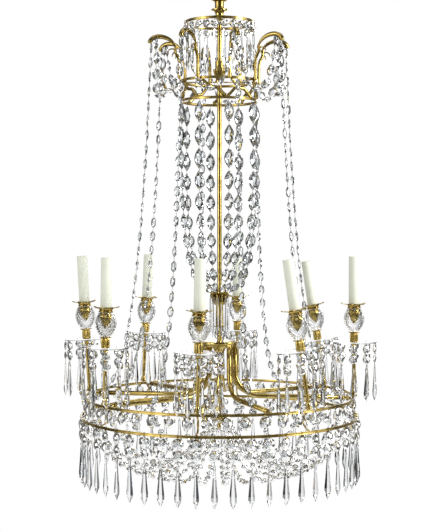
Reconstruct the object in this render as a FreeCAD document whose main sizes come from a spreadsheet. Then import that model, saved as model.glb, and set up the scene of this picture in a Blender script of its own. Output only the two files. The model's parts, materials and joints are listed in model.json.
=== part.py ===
import FreeCAD, Part
import math
import os

import Sketcher
from FreeCAD import Placement, Rotation, Vector

# Crystal chandelier with eight candle arms. Millimetres, +Z up. The origin is the centre of the
# suspension eye that the ceiling hook goes through, and everything hangs below it. An azimuth is
# counted from the front (-Y) towards the right (+X). A drop is a depth below the origin.

doc = FreeCAD.newDocument("crystal_chandelier")
sheet = doc.addObject("Spreadsheet::Sheet", "sizes")

DRIVING_SIZES = (
    # suspension eye
    ("eye_bore_radius", 9, "hole for the ceiling hook"),
    ("eye_rim", 8, "width of metal round the hole"),
    ("eye_thickness", 9, "eye, front to back"),
    ("shank_radius", 6, "shank under the eye"),
    ("neck_length", 24, "eye centre down to the top fitting"),
    # top fitting, from its foot up
    ("fitting_foot_radius", 12.4, "foot flange"),
    ("fitting_foot_height", 3, "foot flange"),
    ("fitting_waist_radius", 9, "waist over the foot"),
    ("fitting_waist_height", 2, "foot up to the waist"),
    ("fitting_vase_radius", 12.4, "top of the vase"),
    ("fitting_vase_height", 10, "waist up to the flange"),
    ("fitting_flange_radius", 19, "side flange"),
    ("fitting_flange_height", 3.5, "side flange"),
    ("fitting_barrel_radius", 11, "barrel"),
    ("fitting_barrel_height", 17, "barrel"),
    ("fitting_cap_radius", 18, "cap"),
    ("fitting_cap_height", 17, "cap up to its shoulder"),
    ("fitting_dome_height", 17.5, "shoulder up to the neck"),
    # central rod
    ("rod_radius", 5.2, "central rod"),
    ("bore_clearance", 0.15, "between the rod and what it goes through"),
    ("seat_gap", 0.25, "between a hung or standing piece and its seat"),
    # spoked rings
    ("band_thickness", 3, "small rings, in to out"),
    ("band_height", 6, "small rings, top to bottom"),
    ("spoke_width", 4, "spokes of the small rings"),
    ("spoke_height", 3, "spokes of the small rings"),
    ("ring_hub_radius", 10, "hubs of the small rings"),
    ("top_ring_radius", 76.5, "middle of the top ring's band"),
    ("top_ring_hub_height", 15, "top ring's hub"),
    # crown
    ("crown_ring_radius", 85.5, "middle of both crown bands"),
    ("crown_drop", 240, "underside of the upper crown ring"),
    ("crown_hub_height", 6, "hub of the upper crown ring"),
    ("crown_ring_spacing", 44, "upper crown ring to lower crown ring"),
    ("cup_foot_radius", 8, "crown cup, foot"),
    ("cup_radius", 15.8, "crown cup, widest"),
    ("cup_height", 22, "crown cup, foot to rim"),
    ("cup_rim_height", 3, "crown cup's rim"),
    ("cup_collar_radius", 11, "collar over the cup"),
    ("cup_collar_height", 18, "collar over the cup"),
    ("crown_arm_azimuth", 14, "first crown arm"),
    ("crown_arm_width", 9.5, "crown arm, in its plane"),
    ("crown_arm_thickness", 6, "crown arm, across its plane"),
    ("crown_arm_rise", 67, "foot to the start of the arch"),
    ("crown_arm_arch", 40, "radius of the arch's inner half"),
    ("crown_arm_beak", 27, "radius of the arch's outer half"),
    ("crown_tip_reach", 162, "axis to the crown arm's tip"),
    ("chain_hook_inset", 7, "crown arm's tip in to where its chain hangs"),
    ("swag_hook_inset", 16, "crown arm's tip in to where its swags hang"),
    ("crown_branch_width", 4, "inner branch of a crown arm"),
    ("crown_branch_arch", 26, "radius of the inner branch"),
    ("bracket_width", 4, "S-bracket, in its plane"),
    ("bracket_thickness", 3, "S-bracket, across its plane"),
    ("bracket_span", 40, "azimuth that an S-bracket spans"),
    # arm disc and what stands on it
    ("disc_radius", 42, "arm disc"),
    ("disc_rim_height", 11, "arm disc's rim"),
    ("disc_cone_height", 14, "cone under the arm disc"),
    ("disc_cone_radius", 24, "cone under the arm disc, top"),
    ("disc_nose_radius", 10, "cone under the arm disc, bottom"),
    ("knob_radius", 12, "glass knob, widest"),
    ("knob_end_radius", 8.5, "glass knob, ends"),
    ("knob_height", 31.5, "glass knob"),
    ("stem_radius", 8.4, "fluted stem"),
    ("stem_height", 50, "fluted stem"),
    ("stem_foot_radius", 12, "fluted stem's foot"),
    ("stem_foot_height", 2.5, "fluted stem's foot"),
    ("flute_radius", 1.3, "flutes"),
    ("flute_count", 10, "flutes"),
    ("collar_radius", 12, "lower collar"),
    ("collar_height", 20, "lower collar up to its flare"),
    ("collar_flare_radius", 24, "lower collar's flare"),
    ("collar_flare_height", 7, "lower collar's flare"),
    ("collar_rim_height", 2, "lower collar's rim"),
    # candle arms and large rings
    ("mid_ring_drop", 943, "middle of the mid ring's band"),
    ("mid_ring_radius", 301.5, "middle of the mid ring's band"),
    ("lower_ring_overhang", 8.5, "how far the lower ring stands out past the mid ring"),
    ("large_ring_spacing", 42.5, "mid ring to lower ring"),
    ("large_band_thickness", 3.4, "large rings, in to out"),
    ("large_band_height", 6, "large rings, top to bottom"),
    ("arm_tube_radius", 5.8, "candle arm tube, over its corners"),
    ("arm_root_radius", 35, "where the arms leave the disc"),
    ("arm_bend_radius", 56, "J bend of the candle arms"),
    ("arm_fall", 111, "disc underside down to the arms' level"),
    ("arm_lift", 2, "arms' level over the mid ring's middle"),
    ("strut_width", 4, "C-struts, in their plane"),
    ("strut_thickness", 5, "C-struts, across their plane"),
    ("strut_bulge", 13, "how far a C-strut bulges inwards"),
    # candles, from the mid ring up
    ("candle_azimuth", -8.5, "front candle"),
    ("stem_tip_radius", 3, "candle stem, where it stands on the ring"),
    ("stem_knob_radius", 8, "candle stem's base knob"),
    ("stem_knob_height", 6, "candle stem's base knob"),
    ("stem_shaft_radius", 4.6, "candle stem's shaft"),
    ("stem_top_height", 8, "candle stem's top flare"),
    ("stem_top_radius", 7.5, "candle stem's top"),
    ("candle_stem_height", 118, "candle stem"),
    ("pan_radius", 51, "drip pan"),
    ("pan_foot_radius", 14, "drip pan's flat middle"),
    ("pan_dish", 3.5, "how far the drip pan's rim stands up"),
    ("pan_thickness", 3, "drip pan"),
    ("socket_radius", 9.5, "brass socket"),
    ("socket_height", 21, "brass socket"),
    ("socket_flange_radius", 14, "brass socket's flange"),
    ("socket_flange_height", 3.5, "brass socket's flange"),
    ("egg_foot_radius", 10, "glass egg, foot"),
    ("egg_radius", 23.6, "glass egg, widest"),
    ("egg_low_height", 15, "glass egg, foot to its lower shoulder"),
    ("egg_belly_height", 20, "glass egg, between its shoulders"),
    ("egg_neck_height", 16, "glass egg, upper shoulder to neck"),
    ("egg_neck_radius", 16, "glass egg, neck"),
    ("egg_wall", 3, "glass egg"),
    ("nozzle_tip_radius", 3.5, "brass nozzle's tip inside the egg"),
    ("bobeche_collar_radius", 16, "bobeche's collar"),
    ("bobeche_collar_height", 9, "bobeche's collar"),
    ("petal_reach", 30, "bobeche's petals"),
    ("petal_notch", 19, "bobeche, between the petals"),
    ("petal_thickness", 1.5, "bobeche's petals"),
    ("petal_count", 6, "bobeche's petals"),
    ("holder_radius", 9.2, "lamp holder, over its corners"),
    ("holder_height", 62, "lamp holder"),
    ("sleeve_radius", 12, "candle sleeve, outside"),
    ("sleeve_bore_radius", 10.2, "candle sleeve, inside"),
    ("sleeve_height", 105, "candle sleeve"),
    # bottom
    ("tail_rod_radius", 3, "rod under the arm disc"),
    ("bottom_disc_radius", 16, "bottom disc"),
    ("bottom_disc_height", 6, "bottom disc"),
    ("bottom_disc_lift", 3, "bottom disc's underside under the lower ring's level"),
    ("bottom_dome_radius", 10, "dome under the bottom disc"),
    ("bottom_dome_height", 9, "dome under the bottom disc"),
    ("finial_radius", 5.5, "bottom finial"),
    ("finial_height", 20, "bottom finial"),
    # crystals
    ("chain_pitch", 31.5, "outer chains, crystal to crystal"),
    ("chain_width", 15, "outer chain crystals"),
    ("chain_depth", 7, "outer chain crystals"),
    ("chain_slack", 36, "catenary length of the outer chains"),
    ("strand_pitch", 43, "inner strands, mean crystal to crystal"),
    ("strand_width", 21, "inner strand crystals, at the top"),
    ("strand_taper", 0.65, "lowest strand crystal over the highest"),
    ("strand_belly", 90, "inner strands, axis to their widest"),
    ("swag_sag", 134, "swags, below where they start"),
    ("swag_count", 9, "crystals in a swag"),
    ("swag_end_width", 9, "swag crystals, at the ends"),
    ("swag_middle_width", 23, "swag crystals, in the middle"),
    ("top_string_count", 24, "strings of the top ring"),
    ("top_bead_size", 18, "top ring's beads"),
    ("top_prism_length", 82, "top ring's prisms"),
    ("top_prism_width", 11, "top ring's prisms"),
    ("pan_string_count", 10, "strings of a drip pan"),
    ("pan_bead_height", 42, "drip pan bead pairs"),
    ("pan_bead_width", 19, "drip pan bead pairs"),
    ("pan_prism_length", 84, "drip pan prisms"),
    ("pan_prism_width", 12.5, "drip pan prisms"),
    ("pan_string_inset", 3, "drip pan rim in to its strings"),
    ("mid_bead_count", 48, "beads of the mid ring"),
    ("mid_bead_size", 24, "mid ring beads"),
    ("lower_string_count", 52, "strings of the lower ring"),
    ("lower_bead_size", 20, "lower ring's upper beads"),
    ("lower_small_bead_size", 19, "lower ring's lower beads"),
    ("lower_bead_pitch", 24, "lower ring's beads, one to the next"),
    ("icicle_length", 94, "lower ring's icicles"),
    ("icicle_width", 12.5, "lower ring's icicles"),
    ("bead_depth", 10, "all round beads, front to back"),
    ("festoon_count", 24, "bottom festoons"),
    ("festoon_beads", 10, "beads of a bottom festoon"),
    ("festoon_sag", 122, "bottom festoons"),
    ("festoon_bead_width", 10, "bottom festoon beads"),
    ("skirt_count", 12, "skirt prisms"),
    ("skirt_length", 98, "skirt prisms"),
    ("skirt_width", 12, "skirt prisms"),
    ("skirt_radius", 21, "skirt prisms from the axis"),
)
for row, (alias, value, meaning) in enumerate(DRIVING_SIZES, 1):
    sheet.set(f"A{row}", meaning)
    sheet.set(f"B{row}", str(value))
    sheet.setAlias(f"B{row}", alias)
doc.recompute()


class Size:
    """A length that knows both its value and the formula over the sheet that gives it."""

    def __init__(self, value, formula):
        self.value = float(value)
        self.formula = formula

    def __add__(self, other):
        other = as_size(other)
        return Size(self.value + other.value, f"({self.formula} + {other.formula})")

    def __sub__(self, other):
        other = as_size(other)
        return Size(self.value - other.value, f"({self.formula} - {other.formula})")

    def __mul__(self, factor):
        return Size(self.value * factor, f"({self.formula} * {factor})")

    def __truediv__(self, factor):
        return self * (1 / factor)

    def __neg__(self):
        return self * -1

    def __float__(self):
        return self.value


def as_size(thing):
    return thing if isinstance(thing, Size) else Size(thing, str(thing))


class Cells:
    """The sheet's cells by alias, as sizes."""

    def __getattr__(self, alias):
        return Size(sheet.get(alias), f"sizes.{alias}")


cell = Cells()
NOUGHT = Size(0, "0")
ARMS = 8
BAND_SIDES = 48
BAY = 360 / ARMS

# Levels, as heights in the row frame, each hung from the one above it.
fitting_height = (
    cell.fitting_foot_height + cell.fitting_waist_height + cell.fitting_vase_height
    + cell.fitting_flange_height + cell.fitting_barrel_height + cell.fitting_cap_height
    + cell.fitting_dome_height
)
fitting_foot = -(cell.neck_length + fitting_height)
top_ring_floor = fitting_foot - cell.top_ring_hub_height
crown_floor = -cell.crown_drop
crown_lower_floor = crown_floor - cell.crown_ring_spacing
mid_ring_floor = -cell.mid_ring_drop - cell.large_band_height / 2
mid_ring_top = mid_ring_floor + cell.large_band_height
arm_level = -cell.mid_ring_drop + cell.arm_lift
disc_floor = arm_level + cell.arm_fall
disc_top = disc_floor + cell.disc_rim_height
disc_nose = disc_floor - cell.disc_cone_height
stem_floor = disc_top + cell.knob_height
collar_floor = stem_floor + cell.stem_height
collar_flare_top = collar_floor + cell.collar_height + cell.collar_flare_height
lower_ring_floor = mid_ring_floor - cell.large_ring_spacing
lower_ring_top = lower_ring_floor + cell.large_band_height
lower_ring_radius = cell.mid_ring_radius + cell.lower_ring_overhang
bottom_disc_floor = lower_ring_floor - cell.bottom_disc_lift
bottom_disc_top = bottom_disc_floor + cell.bottom_disc_height

nodes = []


def node(thing):
    """Counts an object among the pieces that are written out."""
    nodes.append(thing)
    return thing


def raise_to(thing, height, turn=0):
    thing.Placement = Placement(Vector(0, 0, float(height)), Rotation(Vector(0, 0, 1), turn))
    thing.setExpression("Placement.Base.z", height.formula)
    return thing


def origin_part(body, role):
    return next(part for part in body.Origin.OriginFeatures if part.Role == role)


def sketch_on(body, role, name):
    sketch = body.newObject("Sketcher::SketchObject", name)
    sketch.AttachmentSupport = [(origin_part(body, role), "")]
    sketch.MapMode = "FlatFace"
    return sketch


def pin_corner(sketch, line, across, up):
    """Ties a line's first end to the sheet, from the sketch's origin."""
    for kind, distance, axis in (("DistanceX", across, -2), ("DistanceY", up, -1)):
        if distance.value == 0:
            sketch.addConstraint(Sketcher.Constraint("PointOnObject", line, 1, axis))
        else:
            tie = sketch.addConstraint(
                Sketcher.Constraint(kind, -1, 1, line, 1, distance.value)
            )
            sketch.setExpression(f"Constraints[{tie}]", distance.formula)


def draw_outline(sketch, corners):
    """A closed outline of straight lines through corners (across, up), each tied to the sheet."""
    flat = [Vector(float(across), float(up), 0) for across, up in corners]
    first = sketch.GeometryCount
    count = len(corners)
    for here in range(count):
        sketch.addGeometry(Part.LineSegment(flat[here], flat[(here + 1) % count]))
    for here in range(count):
        following = first + (here + 1) % count
        sketch.addConstraint(Sketcher.Constraint("Coincident", first + here, 2, following, 1))
    for here, (across, up) in enumerate(corners):
        pin_corner(sketch, first + here, as_size(across), as_size(up))


def bind(thing, **formulas):
    for prop, size in formulas.items():
        setattr(thing, prop, size.value)
        thing.setExpression(prop, size.formula)
    return thing


def polygon_prism(label, sides, radius, height, floor):
    """A straight prism whose corners lie at the radius."""
    prism = doc.addObject("Part::Prism", label)
    prism.Polygon = sides
    bind(prism, Circumradius=radius, Height=height)
    return raise_to(prism, floor, 180 / sides)


def cut(label, base, tool):
    result = doc.addObject("Part::Cut", label)
    result.Base = base
    result.Tool = tool
    return result


def set_shape(label, shape, placement=None):
    thing = doc.addObject("Part::Feature", label)
    thing.Shape = shape
    thing.Placement = placement or Placement()
    return thing


def moved(shape, placement):
    return shape.transformed(placement.toMatrix(), copy=True)


def compass(azimuth):
    """Unit vectors away from the axis and along the ring at an azimuth."""
    angle = math.radians(azimuth)
    outwards = Vector(math.sin(angle), -math.cos(angle), 0)
    along = Vector(math.cos(angle), math.sin(angle), 0)
    return outwards, along


def spot(radius, azimuth, height):
    outwards, along = compass(azimuth)
    return outwards * float(radius) + Vector(0, 0, float(height))


def facing(azimuth, height=0.0):
    """Placement that turns a piece drawn along +X to an azimuth."""
    return Placement(Vector(0, 0, float(height)), Rotation(Vector(0, 0, 1), azimuth - 90))


# ---------------------------------------------------------------- solids of flat facets


def closed_solid(faces):
    solid = Part.Solid(Part.makeShell(faces))
    if solid.Volume < 0:
        solid.reverse()
    return solid


def polygon_face(corners):
    return Part.Face(Part.makePolygon(list(corners) + [corners[0]]))


def turned_solid(sides, stations, through=False, phase=0.5):
    """A turned solid with flat facets, through stations (radius, height). It is capped at its
    first and last station, or closed on itself where it goes through like a tube."""
    rings = []
    for radius, height in stations:
        ring = []
        for corner in range(sides):
            angle = 2 * math.pi * (corner + phase) / sides
            ring.append(Vector(
                float(radius) * math.cos(angle), float(radius) * math.sin(angle), float(height)
            ))
        rings.append(ring)
    bands = list(zip(rings, rings[1:]))
    faces = []
    if through:
        bands.append((rings[-1], rings[0]))
    else:
        faces += [polygon_face(rings[0]), polygon_face(rings[-1])]
    for one, other in bands:
        for corner in range(sides):
            after = (corner + 1) % sides
            faces.append(polygon_face([one[corner], one[after], other[after], other[corner]]))
    return closed_solid(faces)


def turned(label, floor, sides, stations, through=False, turn=0.0):
    """A turned piece on the axis, standing at a height."""
    return raise_to(set_shape(label, turned_solid(sides, stations, through)), floor, turn)


def round_rod(sides, stations):
    """Stations of a turned piece, closed by the bore that the central rod goes through."""
    flats = (cell.rod_radius + cell.bore_clearance) * (1 / math.cos(math.pi / sides))
    return stations + ((flats, stations[-1][1]), (flats, stations[0][1]))


def gem(top, bottom, belly_share, across, through, sides=4):
    """A crystal pointed at both ends. across and through are half-width vectors of its belly."""
    centre = top + (bottom - top) * belly_share
    belly = []
    for corner in range(sides):
        angle = 2 * math.pi * corner / sides
        belly.append(centre + across * math.cos(angle) + through * math.sin(angle))
    faces = []
    for corner in range(sides):
        pair = [belly[corner], belly[(corner + 1) % sides]]
        faces.append(polygon_face(pair + [top]))
        faces.append(polygon_face(pair + [bottom]))
    return closed_solid(faces)


def string_down(start, along, through, links):
    """Crystals hung one under the other from start. A link is (length, width, depth, belly, sides)."""
    gap = cell.seat_gap.value
    down = Vector(0, 0, -1)
    pieces = []
    point = start + down * gap
    for length, width, depth, belly, sides in links:
        end = point + down * float(length)
        pieces.append(
            gem(point, end, belly, along * (float(width) / 2), through * (float(depth) / 2), sides)
        )
        point = end + down * gap
    return pieces


def garland(curve, count, widths, depth_share, side_way, sides=4):
    """Crystals end to end along a curve given by its share of length, 0 to 1."""
    gap = cell.seat_gap.value
    pieces = []
    for index in range(count):
        start = curve(index / count)
        end = curve((index + 1) / count)
        run = (end - start).normalize()
        start = start + run * (gap / 2)
        end = end - run * (gap / 2)
        width = widths((index + 0.5) / count)
        across = side_way(start) * (width / 2)
        through = run.cross(across).normalize() * (width * depth_share / 2)
        pieces.append(gem(start, end, 0.5, across, through, sides))
    return pieces


def hanging_curve(start, end, length_scale):
    """A catenary between two points, as a function of its share of length."""
    level = Vector(end.x - start.x, end.y - start.y, 0)
    span = level.Length
    way = level.normalize()
    rise = end.z - start.z
    half = span / (2 * length_scale)
    lowest = span / 2 - length_scale * math.asinh(rise / (2 * length_scale * math.sinh(half)))
    floor = start.z - length_scale * math.cosh(lowest / length_scale)
    first = -math.sinh(lowest / length_scale)
    last = math.sinh((span - lowest) / length_scale)

    def at(share):
        turn = math.asinh(first + (last - first) * share)
        return Vector(
            start.x + way.x * (lowest + length_scale * turn),
            start.y + way.y * (lowest + length_scale * turn),
            floor + length_scale * math.cosh(turn),
        )

    length = length_scale * (last - first)
    return at, length


def scale_for_sag(span, sag):
    """The catenary scale of a chain with level ends that hangs down by sag."""
    low, high = span / 20, span * 20
    for halving in range(60):
        middle = (low + high) / 2
        if middle * (math.cosh(span / (2 * middle)) - 1) > sag:
            low = middle
        else:
            high = middle
    return middle


# ---------------------------------------------------------------- top


def make_suspension_eye():
    turned = Placement(Vector(0, cell.eye_thickness.value / 2, 0), Rotation(Vector(1, 0, 0), 90))
    rim = doc.addObject("Part::Prism", "eye_rim_disc")
    rim.Polygon = 16
    bind(rim, Circumradius=cell.eye_bore_radius + cell.eye_rim, Height=cell.eye_thickness)
    bore = doc.addObject("Part::Cylinder", "eye_bore")
    bind(bore, Radius=cell.eye_bore_radius, Height=cell.eye_thickness)
    for piece in (rim, bore):
        piece.Placement = turned
        piece.setExpression("Placement.Base.y", (cell.eye_thickness / 2).formula)
    shank = polygon_prism(
        "eye_shank", 12, cell.shank_radius, cell.neck_length - cell.eye_bore_radius - cell.eye_rim / 2,
        -cell.neck_length,
    )
    solid = doc.addObject("Part::Fuse", "eye_and_shank")
    solid.Base = rim
    solid.Tool = shank
    return cut("suspension_eye", solid, bore)


def make_top_fitting():
    foot = cell.fitting_foot_height
    waist = foot + cell.fitting_waist_height
    vase = waist + cell.fitting_vase_height
    flange = vase + cell.fitting_flange_height
    barrel = flange + cell.fitting_barrel_height
    shoulder = barrel + cell.fitting_cap_height
    return turned("top_fitting", fitting_foot, 16, (
        (cell.fitting_foot_radius, NOUGHT),
        (cell.fitting_foot_radius, foot),
        (cell.fitting_waist_radius, waist),
        (cell.fitting_vase_radius, vase),
        (cell.fitting_flange_radius, vase),
        (cell.fitting_flange_radius, flange),
        (cell.fitting_barrel_radius, flange),
        (cell.fitting_barrel_radius, barrel),
        (cell.fitting_cap_radius, barrel + cell.fitting_flange_height / 2),
        (cell.fitting_cap_radius, shoulder),
        (cell.shank_radius + cell.eye_rim / 4, fitting_height),
    ))


def pad_sketch(body, sketch, name, length):
    pad = body.newObject("PartDesign::Pad", name)
    pad.Profile = sketch
    return bind(pad, Length=length)


def regular_loop(sketch, sides, radius, turn=0.0):
    """A regular polygon whose corners lie on a circle tied to the sheet."""
    corners = []
    for corner in range(sides):
        angle = 2 * math.pi * corner / sides + turn
        corners.append((radius * math.cos(angle), radius * math.sin(angle)))
    draw_outline(sketch, corners)


def make_spoked_ring(label, radius, hub_height, floor, sides, spokes):
    """A flat band with a bored hub, joined by spokes."""
    half = cell.band_thickness / 2
    body = doc.addObject("PartDesign::Body", label)
    hub_sketch = sketch_on(body, "XY_Plane", label + "_hub_sketch")
    regular_loop(hub_sketch, 12, cell.ring_hub_radius, math.pi / 12)
    pad_sketch(body, hub_sketch, label + "_hub", hub_height)
    spoke_sketch = sketch_on(body, "XY_Plane", label + "_spoke_sketch")
    draw_outline(spoke_sketch, (
        (cell.ring_hub_radius / 2, -cell.spoke_width / 2),
        (radius, -cell.spoke_width / 2),
        (radius, cell.spoke_width / 2),
        (cell.ring_hub_radius / 2, cell.spoke_width / 2),
    ))
    spoke = pad_sketch(body, spoke_sketch, label + "_spoke", cell.spoke_height)
    doc.recompute()
    pattern = body.newObject("PartDesign::PolarPattern", label + "_spokes")
    pattern.Originals = [spoke]
    pattern.Axis = (origin_part(body, "Z_Axis"), [""])
    pattern.Angle = 360
    pattern.Occurrences = spokes
    band_sketch = sketch_on(body, "XY_Plane", label + "_band_sketch")
    regular_loop(band_sketch, sides, radius + half)
    regular_loop(band_sketch, sides, radius - half)
    pad_sketch(body, band_sketch, label + "_band", cell.band_height)
    bore_sketch = sketch_on(body, "XY_Plane", label + "_bore_sketch")
    flats = (cell.rod_radius + cell.bore_clearance) * (1 / math.cos(math.pi / 12))
    regular_loop(bore_sketch, 12, flats, math.pi / 12)
    bore = body.newObject("PartDesign::Pocket", label + "_bore")
    bore.Profile = bore_sketch
    bore.Type = 1
    bore.Midplane = True
    body.Tip = bore
    return raise_to(body, floor)


def make_band(label, radius, thickness, height, floor, sides, turn=0.0):
    half = thickness / 2
    return turned(label, floor, sides, (
        (radius - half, NOUGHT),
        (radius + half, NOUGHT),
        (radius + half, height),
        (radius - half, height),
    ), True, turn)


def make_large_band(label, radius, floor):
    """A band whose flat sides face the candles squarely."""
    turn = cell.candle_azimuth.value - 90
    return make_band(
        label, radius, cell.large_band_thickness, cell.large_band_height, floor, BAND_SIDES, turn
    )


def large_band_inside(radius, azimuth):
    """Axis to the inner face of a large band, at an azimuth."""
    step = 360 / BAND_SIDES
    off = (azimuth - cell.candle_azimuth.value + step / 2) % step - step / 2
    apothem = (radius - cell.large_band_thickness / 2).value * math.cos(math.pi / BAND_SIDES)
    return apothem / math.cos(math.radians(off))


# ---------------------------------------------------------------- crown


def arc_run(centre, radius, first_angle, last_angle, steps):
    """Points of an arc in the plane of an arm, as (reach, height)."""
    points = []
    for step in range(steps + 1):
        angle = math.radians(first_angle + (last_angle - first_angle) * step / steps)
        points.append((centre[0] + radius * math.cos(angle), centre[1] + radius * math.sin(angle)))
    return points


def ribbon_edges(points, widths, offset):
    """Both edges of a flat bar that follows points (reach, height), at a distance behind XZ."""
    left, right = [], []
    last = len(points) - 1
    for index, (reach, height) in enumerate(points):
        before = points[max(index - 1, 0)]
        after = points[min(index + 1, last)]
        run = Vector(after[0] - before[0], 0, after[1] - before[1]).normalize()
        side = Vector(-run.z, 0, run.x) * (widths(index / last) / 2)
        left.append(Vector(reach, -offset, height) + side)
        right.append(Vector(reach, -offset, height) - side)
    return left, right


def ribbon(points, widths, thickness):
    """A flat bar that follows points (reach, height) in the XZ plane, centred on Y."""
    left, right = ribbon_edges(points, widths, thickness / 2)
    return polygon_face(left + right[::-1]).extrude(Vector(0, thickness, 0))


def crown_arm_width_at(share):
    """The arm is broadest at its foot and narrows towards its tip."""
    return cell.crown_arm_width.value * (1.15 - 0.45 * share)


def crown_arm_spine():
    """Middle line of a crown arm: its foot, the arch's inner half, then its outer half."""
    ring_outside = (cell.crown_ring_radius + cell.band_thickness / 2).value
    foot_reach = ring_outside + crown_arm_width_at(0) / 2 + cell.seat_gap.value
    arch = cell.crown_arm_arch.value
    beak = cell.crown_arm_beak.value
    crest_reach = cell.crown_tip_reach.value - beak
    spring = crown_floor.value + cell.crown_arm_rise.value
    main = [(foot_reach, crown_floor.value)]
    main += arc_run((crest_reach, spring - arch / 12), arch, 170, 90, 3)
    main += arc_run((crest_reach, spring - arch / 12 + arch - beak), beak, 90, 0, 3)[1:]
    return main


def under_crown_arm(inset):
    """Reach and height of the crown arm's underside, at a distance in from its tip."""
    reach = cell.crown_tip_reach.value - inset
    left, right = ribbon_edges(crown_arm_spine(), crown_arm_width_at, 0)
    for inner, outer in zip(right[1:], right[2:]):
        if inner.x <= reach <= outer.x:
            share = (reach - inner.x) / (outer.x - inner.x)
            return reach, inner.z + share * (outer.z - inner.z)
    return reach, right[-1].z


def make_crown_arm(number):
    """An arched arm that stands on the upper crown ring, with a lighter branch inside its arch."""
    thickness = cell.crown_arm_thickness.value
    arch = cell.crown_arm_arch.value
    crest_reach = (cell.crown_tip_reach - cell.crown_arm_beak).value
    spring = crown_floor.value + cell.crown_arm_rise.value
    branch_centre = (crest_reach - arch / 4, spring - arch / 8)
    branch = arc_run(branch_centre, cell.crown_branch_arch.value, 172, 30, 4)
    bar = ribbon(crown_arm_spine(), crown_arm_width_at, thickness)
    twig = ribbon(branch, lambda share: cell.crown_branch_width.value, thickness * 0.8)
    azimuth = cell.crown_arm_azimuth.value + BAY * (number - 1)
    shape = bar.fuse(twig).removeSplitter()
    return set_shape(f"crown_arm_{number}", shape.Solids[0], facing(azimuth))


def make_brackets():
    """S-scrolls between the crown rings, each a flat bar along a chord of the rings."""
    low = (crown_lower_floor + cell.band_height).value + cell.seat_gap.value
    high = crown_floor.value - cell.seat_gap.value
    half_span = math.radians(cell.bracket_span.value / 2)
    half_chord = cell.crown_ring_radius.value * math.sin(half_span)
    setback = cell.crown_ring_radius.value * math.cos(half_span)
    middle = (low + high) / 2
    loop = (high - low) / 4
    reach = half_chord - loop
    width = cell.bracket_width.value
    points = [(-reach - loop, high + width), (-reach - loop * 0.8, middle + loop * 0.9)]
    points += [(reach + loop * 0.8, middle - loop * 0.9), (reach + loop, low - width)]
    flat = ribbon(points, lambda share: width, cell.bracket_thickness.value)
    flat = flat.common(Part.makeBox(4 * half_chord, 20, high - low, Vector(-2 * half_chord, -10, low)))
    pieces = []
    for number in range(ARMS):
        azimuth = cell.crown_arm_azimuth.value + BAY * (number + 0.5)
        outwards, along = compass(azimuth)
        turn = Placement(outwards * setback, Rotation(Vector(0, 0, 1), azimuth))
        pieces.append(moved(flat.Solids[0], turn))
    return set_shape("crown_brackets", Part.makeCompound(pieces))


def make_crown_hub():
    rim = cell.cup_height + cell.cup_rim_height
    top = rim + cell.cup_collar_height
    return turned("crown_hub", crown_floor + cell.crown_hub_height, 16, round_rod(16, (
        (cell.cup_foot_radius, NOUGHT),
        (cell.cup_radius, cell.cup_height),
        (cell.cup_radius, rim),
        (cell.cup_collar_radius, rim),
        (cell.cup_collar_radius, top),
    )), True)


# ---------------------------------------------------------------- column on the arm disc


def make_central_rod():
    rod = doc.addObject("Part::Cylinder", "central_rod")
    bind(rod, Radius=cell.rod_radius, Height=fitting_foot - disc_top)
    return raise_to(rod, disc_top)


def make_lower_collar():
    flare = cell.collar_height + cell.collar_flare_height
    top = flare + cell.collar_rim_height
    return turned("lower_collar", collar_floor, 16, round_rod(16, (
        (cell.collar_radius, NOUGHT),
        (cell.collar_radius, cell.collar_height),
        (cell.collar_flare_radius, flare),
        (cell.collar_flare_radius, top),
    )), True)


def make_fluted_stem():
    body = doc.addObject("PartDesign::Body", "fluted_stem")
    shaft_sketch = sketch_on(body, "XY_Plane", "stem_shaft_sketch")
    regular_loop(shaft_sketch, 20, cell.stem_radius)
    pad_sketch(body, shaft_sketch, "stem_shaft", cell.stem_height)
    flute_sketch = sketch_on(body, "XY_Plane", "stem_flute_sketch")
    inner = cell.stem_radius - cell.flute_radius
    outer = cell.stem_radius + cell.flute_radius
    draw_outline(flute_sketch, (
        (inner, NOUGHT),
        (outer, -cell.flute_radius),
        (outer, cell.flute_radius),
    ))
    flute = body.newObject("PartDesign::Pocket", "stem_flute")
    flute.Profile = flute_sketch
    flute.Type = 1
    flute.Midplane = True
    doc.recompute()
    flutes = body.newObject("PartDesign::PolarPattern", "stem_flutes")
    flutes.Originals = [flute]
    flutes.Axis = (origin_part(body, "Z_Axis"), [""])
    flutes.Angle = 360
    flutes.Occurrences = int(cell.flute_count.value)
    foot_sketch = sketch_on(body, "XY_Plane", "stem_foot_sketch")
    regular_loop(foot_sketch, 16, cell.stem_foot_radius)
    pad_sketch(body, foot_sketch, "stem_foot", cell.stem_foot_height)
    bore_sketch = sketch_on(body, "XY_Plane", "stem_bore_sketch")
    flats = (cell.rod_radius + cell.bore_clearance) * (1 / math.cos(math.pi / 12))
    regular_loop(bore_sketch, 12, flats, math.pi / 12)
    bore = body.newObject("PartDesign::Pocket", "stem_bore")
    bore.Profile = bore_sketch
    bore.Type = 1
    bore.Midplane = True
    body.Tip = bore
    return raise_to(body, stem_floor)


def make_glass_knob():
    return turned("glass_knob", disc_top, 12, round_rod(12, (
        (cell.knob_end_radius, NOUGHT),
        (cell.knob_radius, cell.knob_height * 0.3),
        (cell.knob_radius, cell.knob_height * 0.7),
        (cell.knob_end_radius, cell.knob_height),
    )), True)


def make_arm_disc():
    return turned("arm_disc", disc_nose, 24, (
        (cell.disc_nose_radius, NOUGHT),
        (cell.disc_cone_radius, cell.disc_cone_height),
        (cell.disc_radius, cell.disc_cone_height),
        (cell.disc_radius, cell.disc_cone_height + cell.disc_rim_height),
    ))


# ---------------------------------------------------------------- candle arms and large rings

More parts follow.
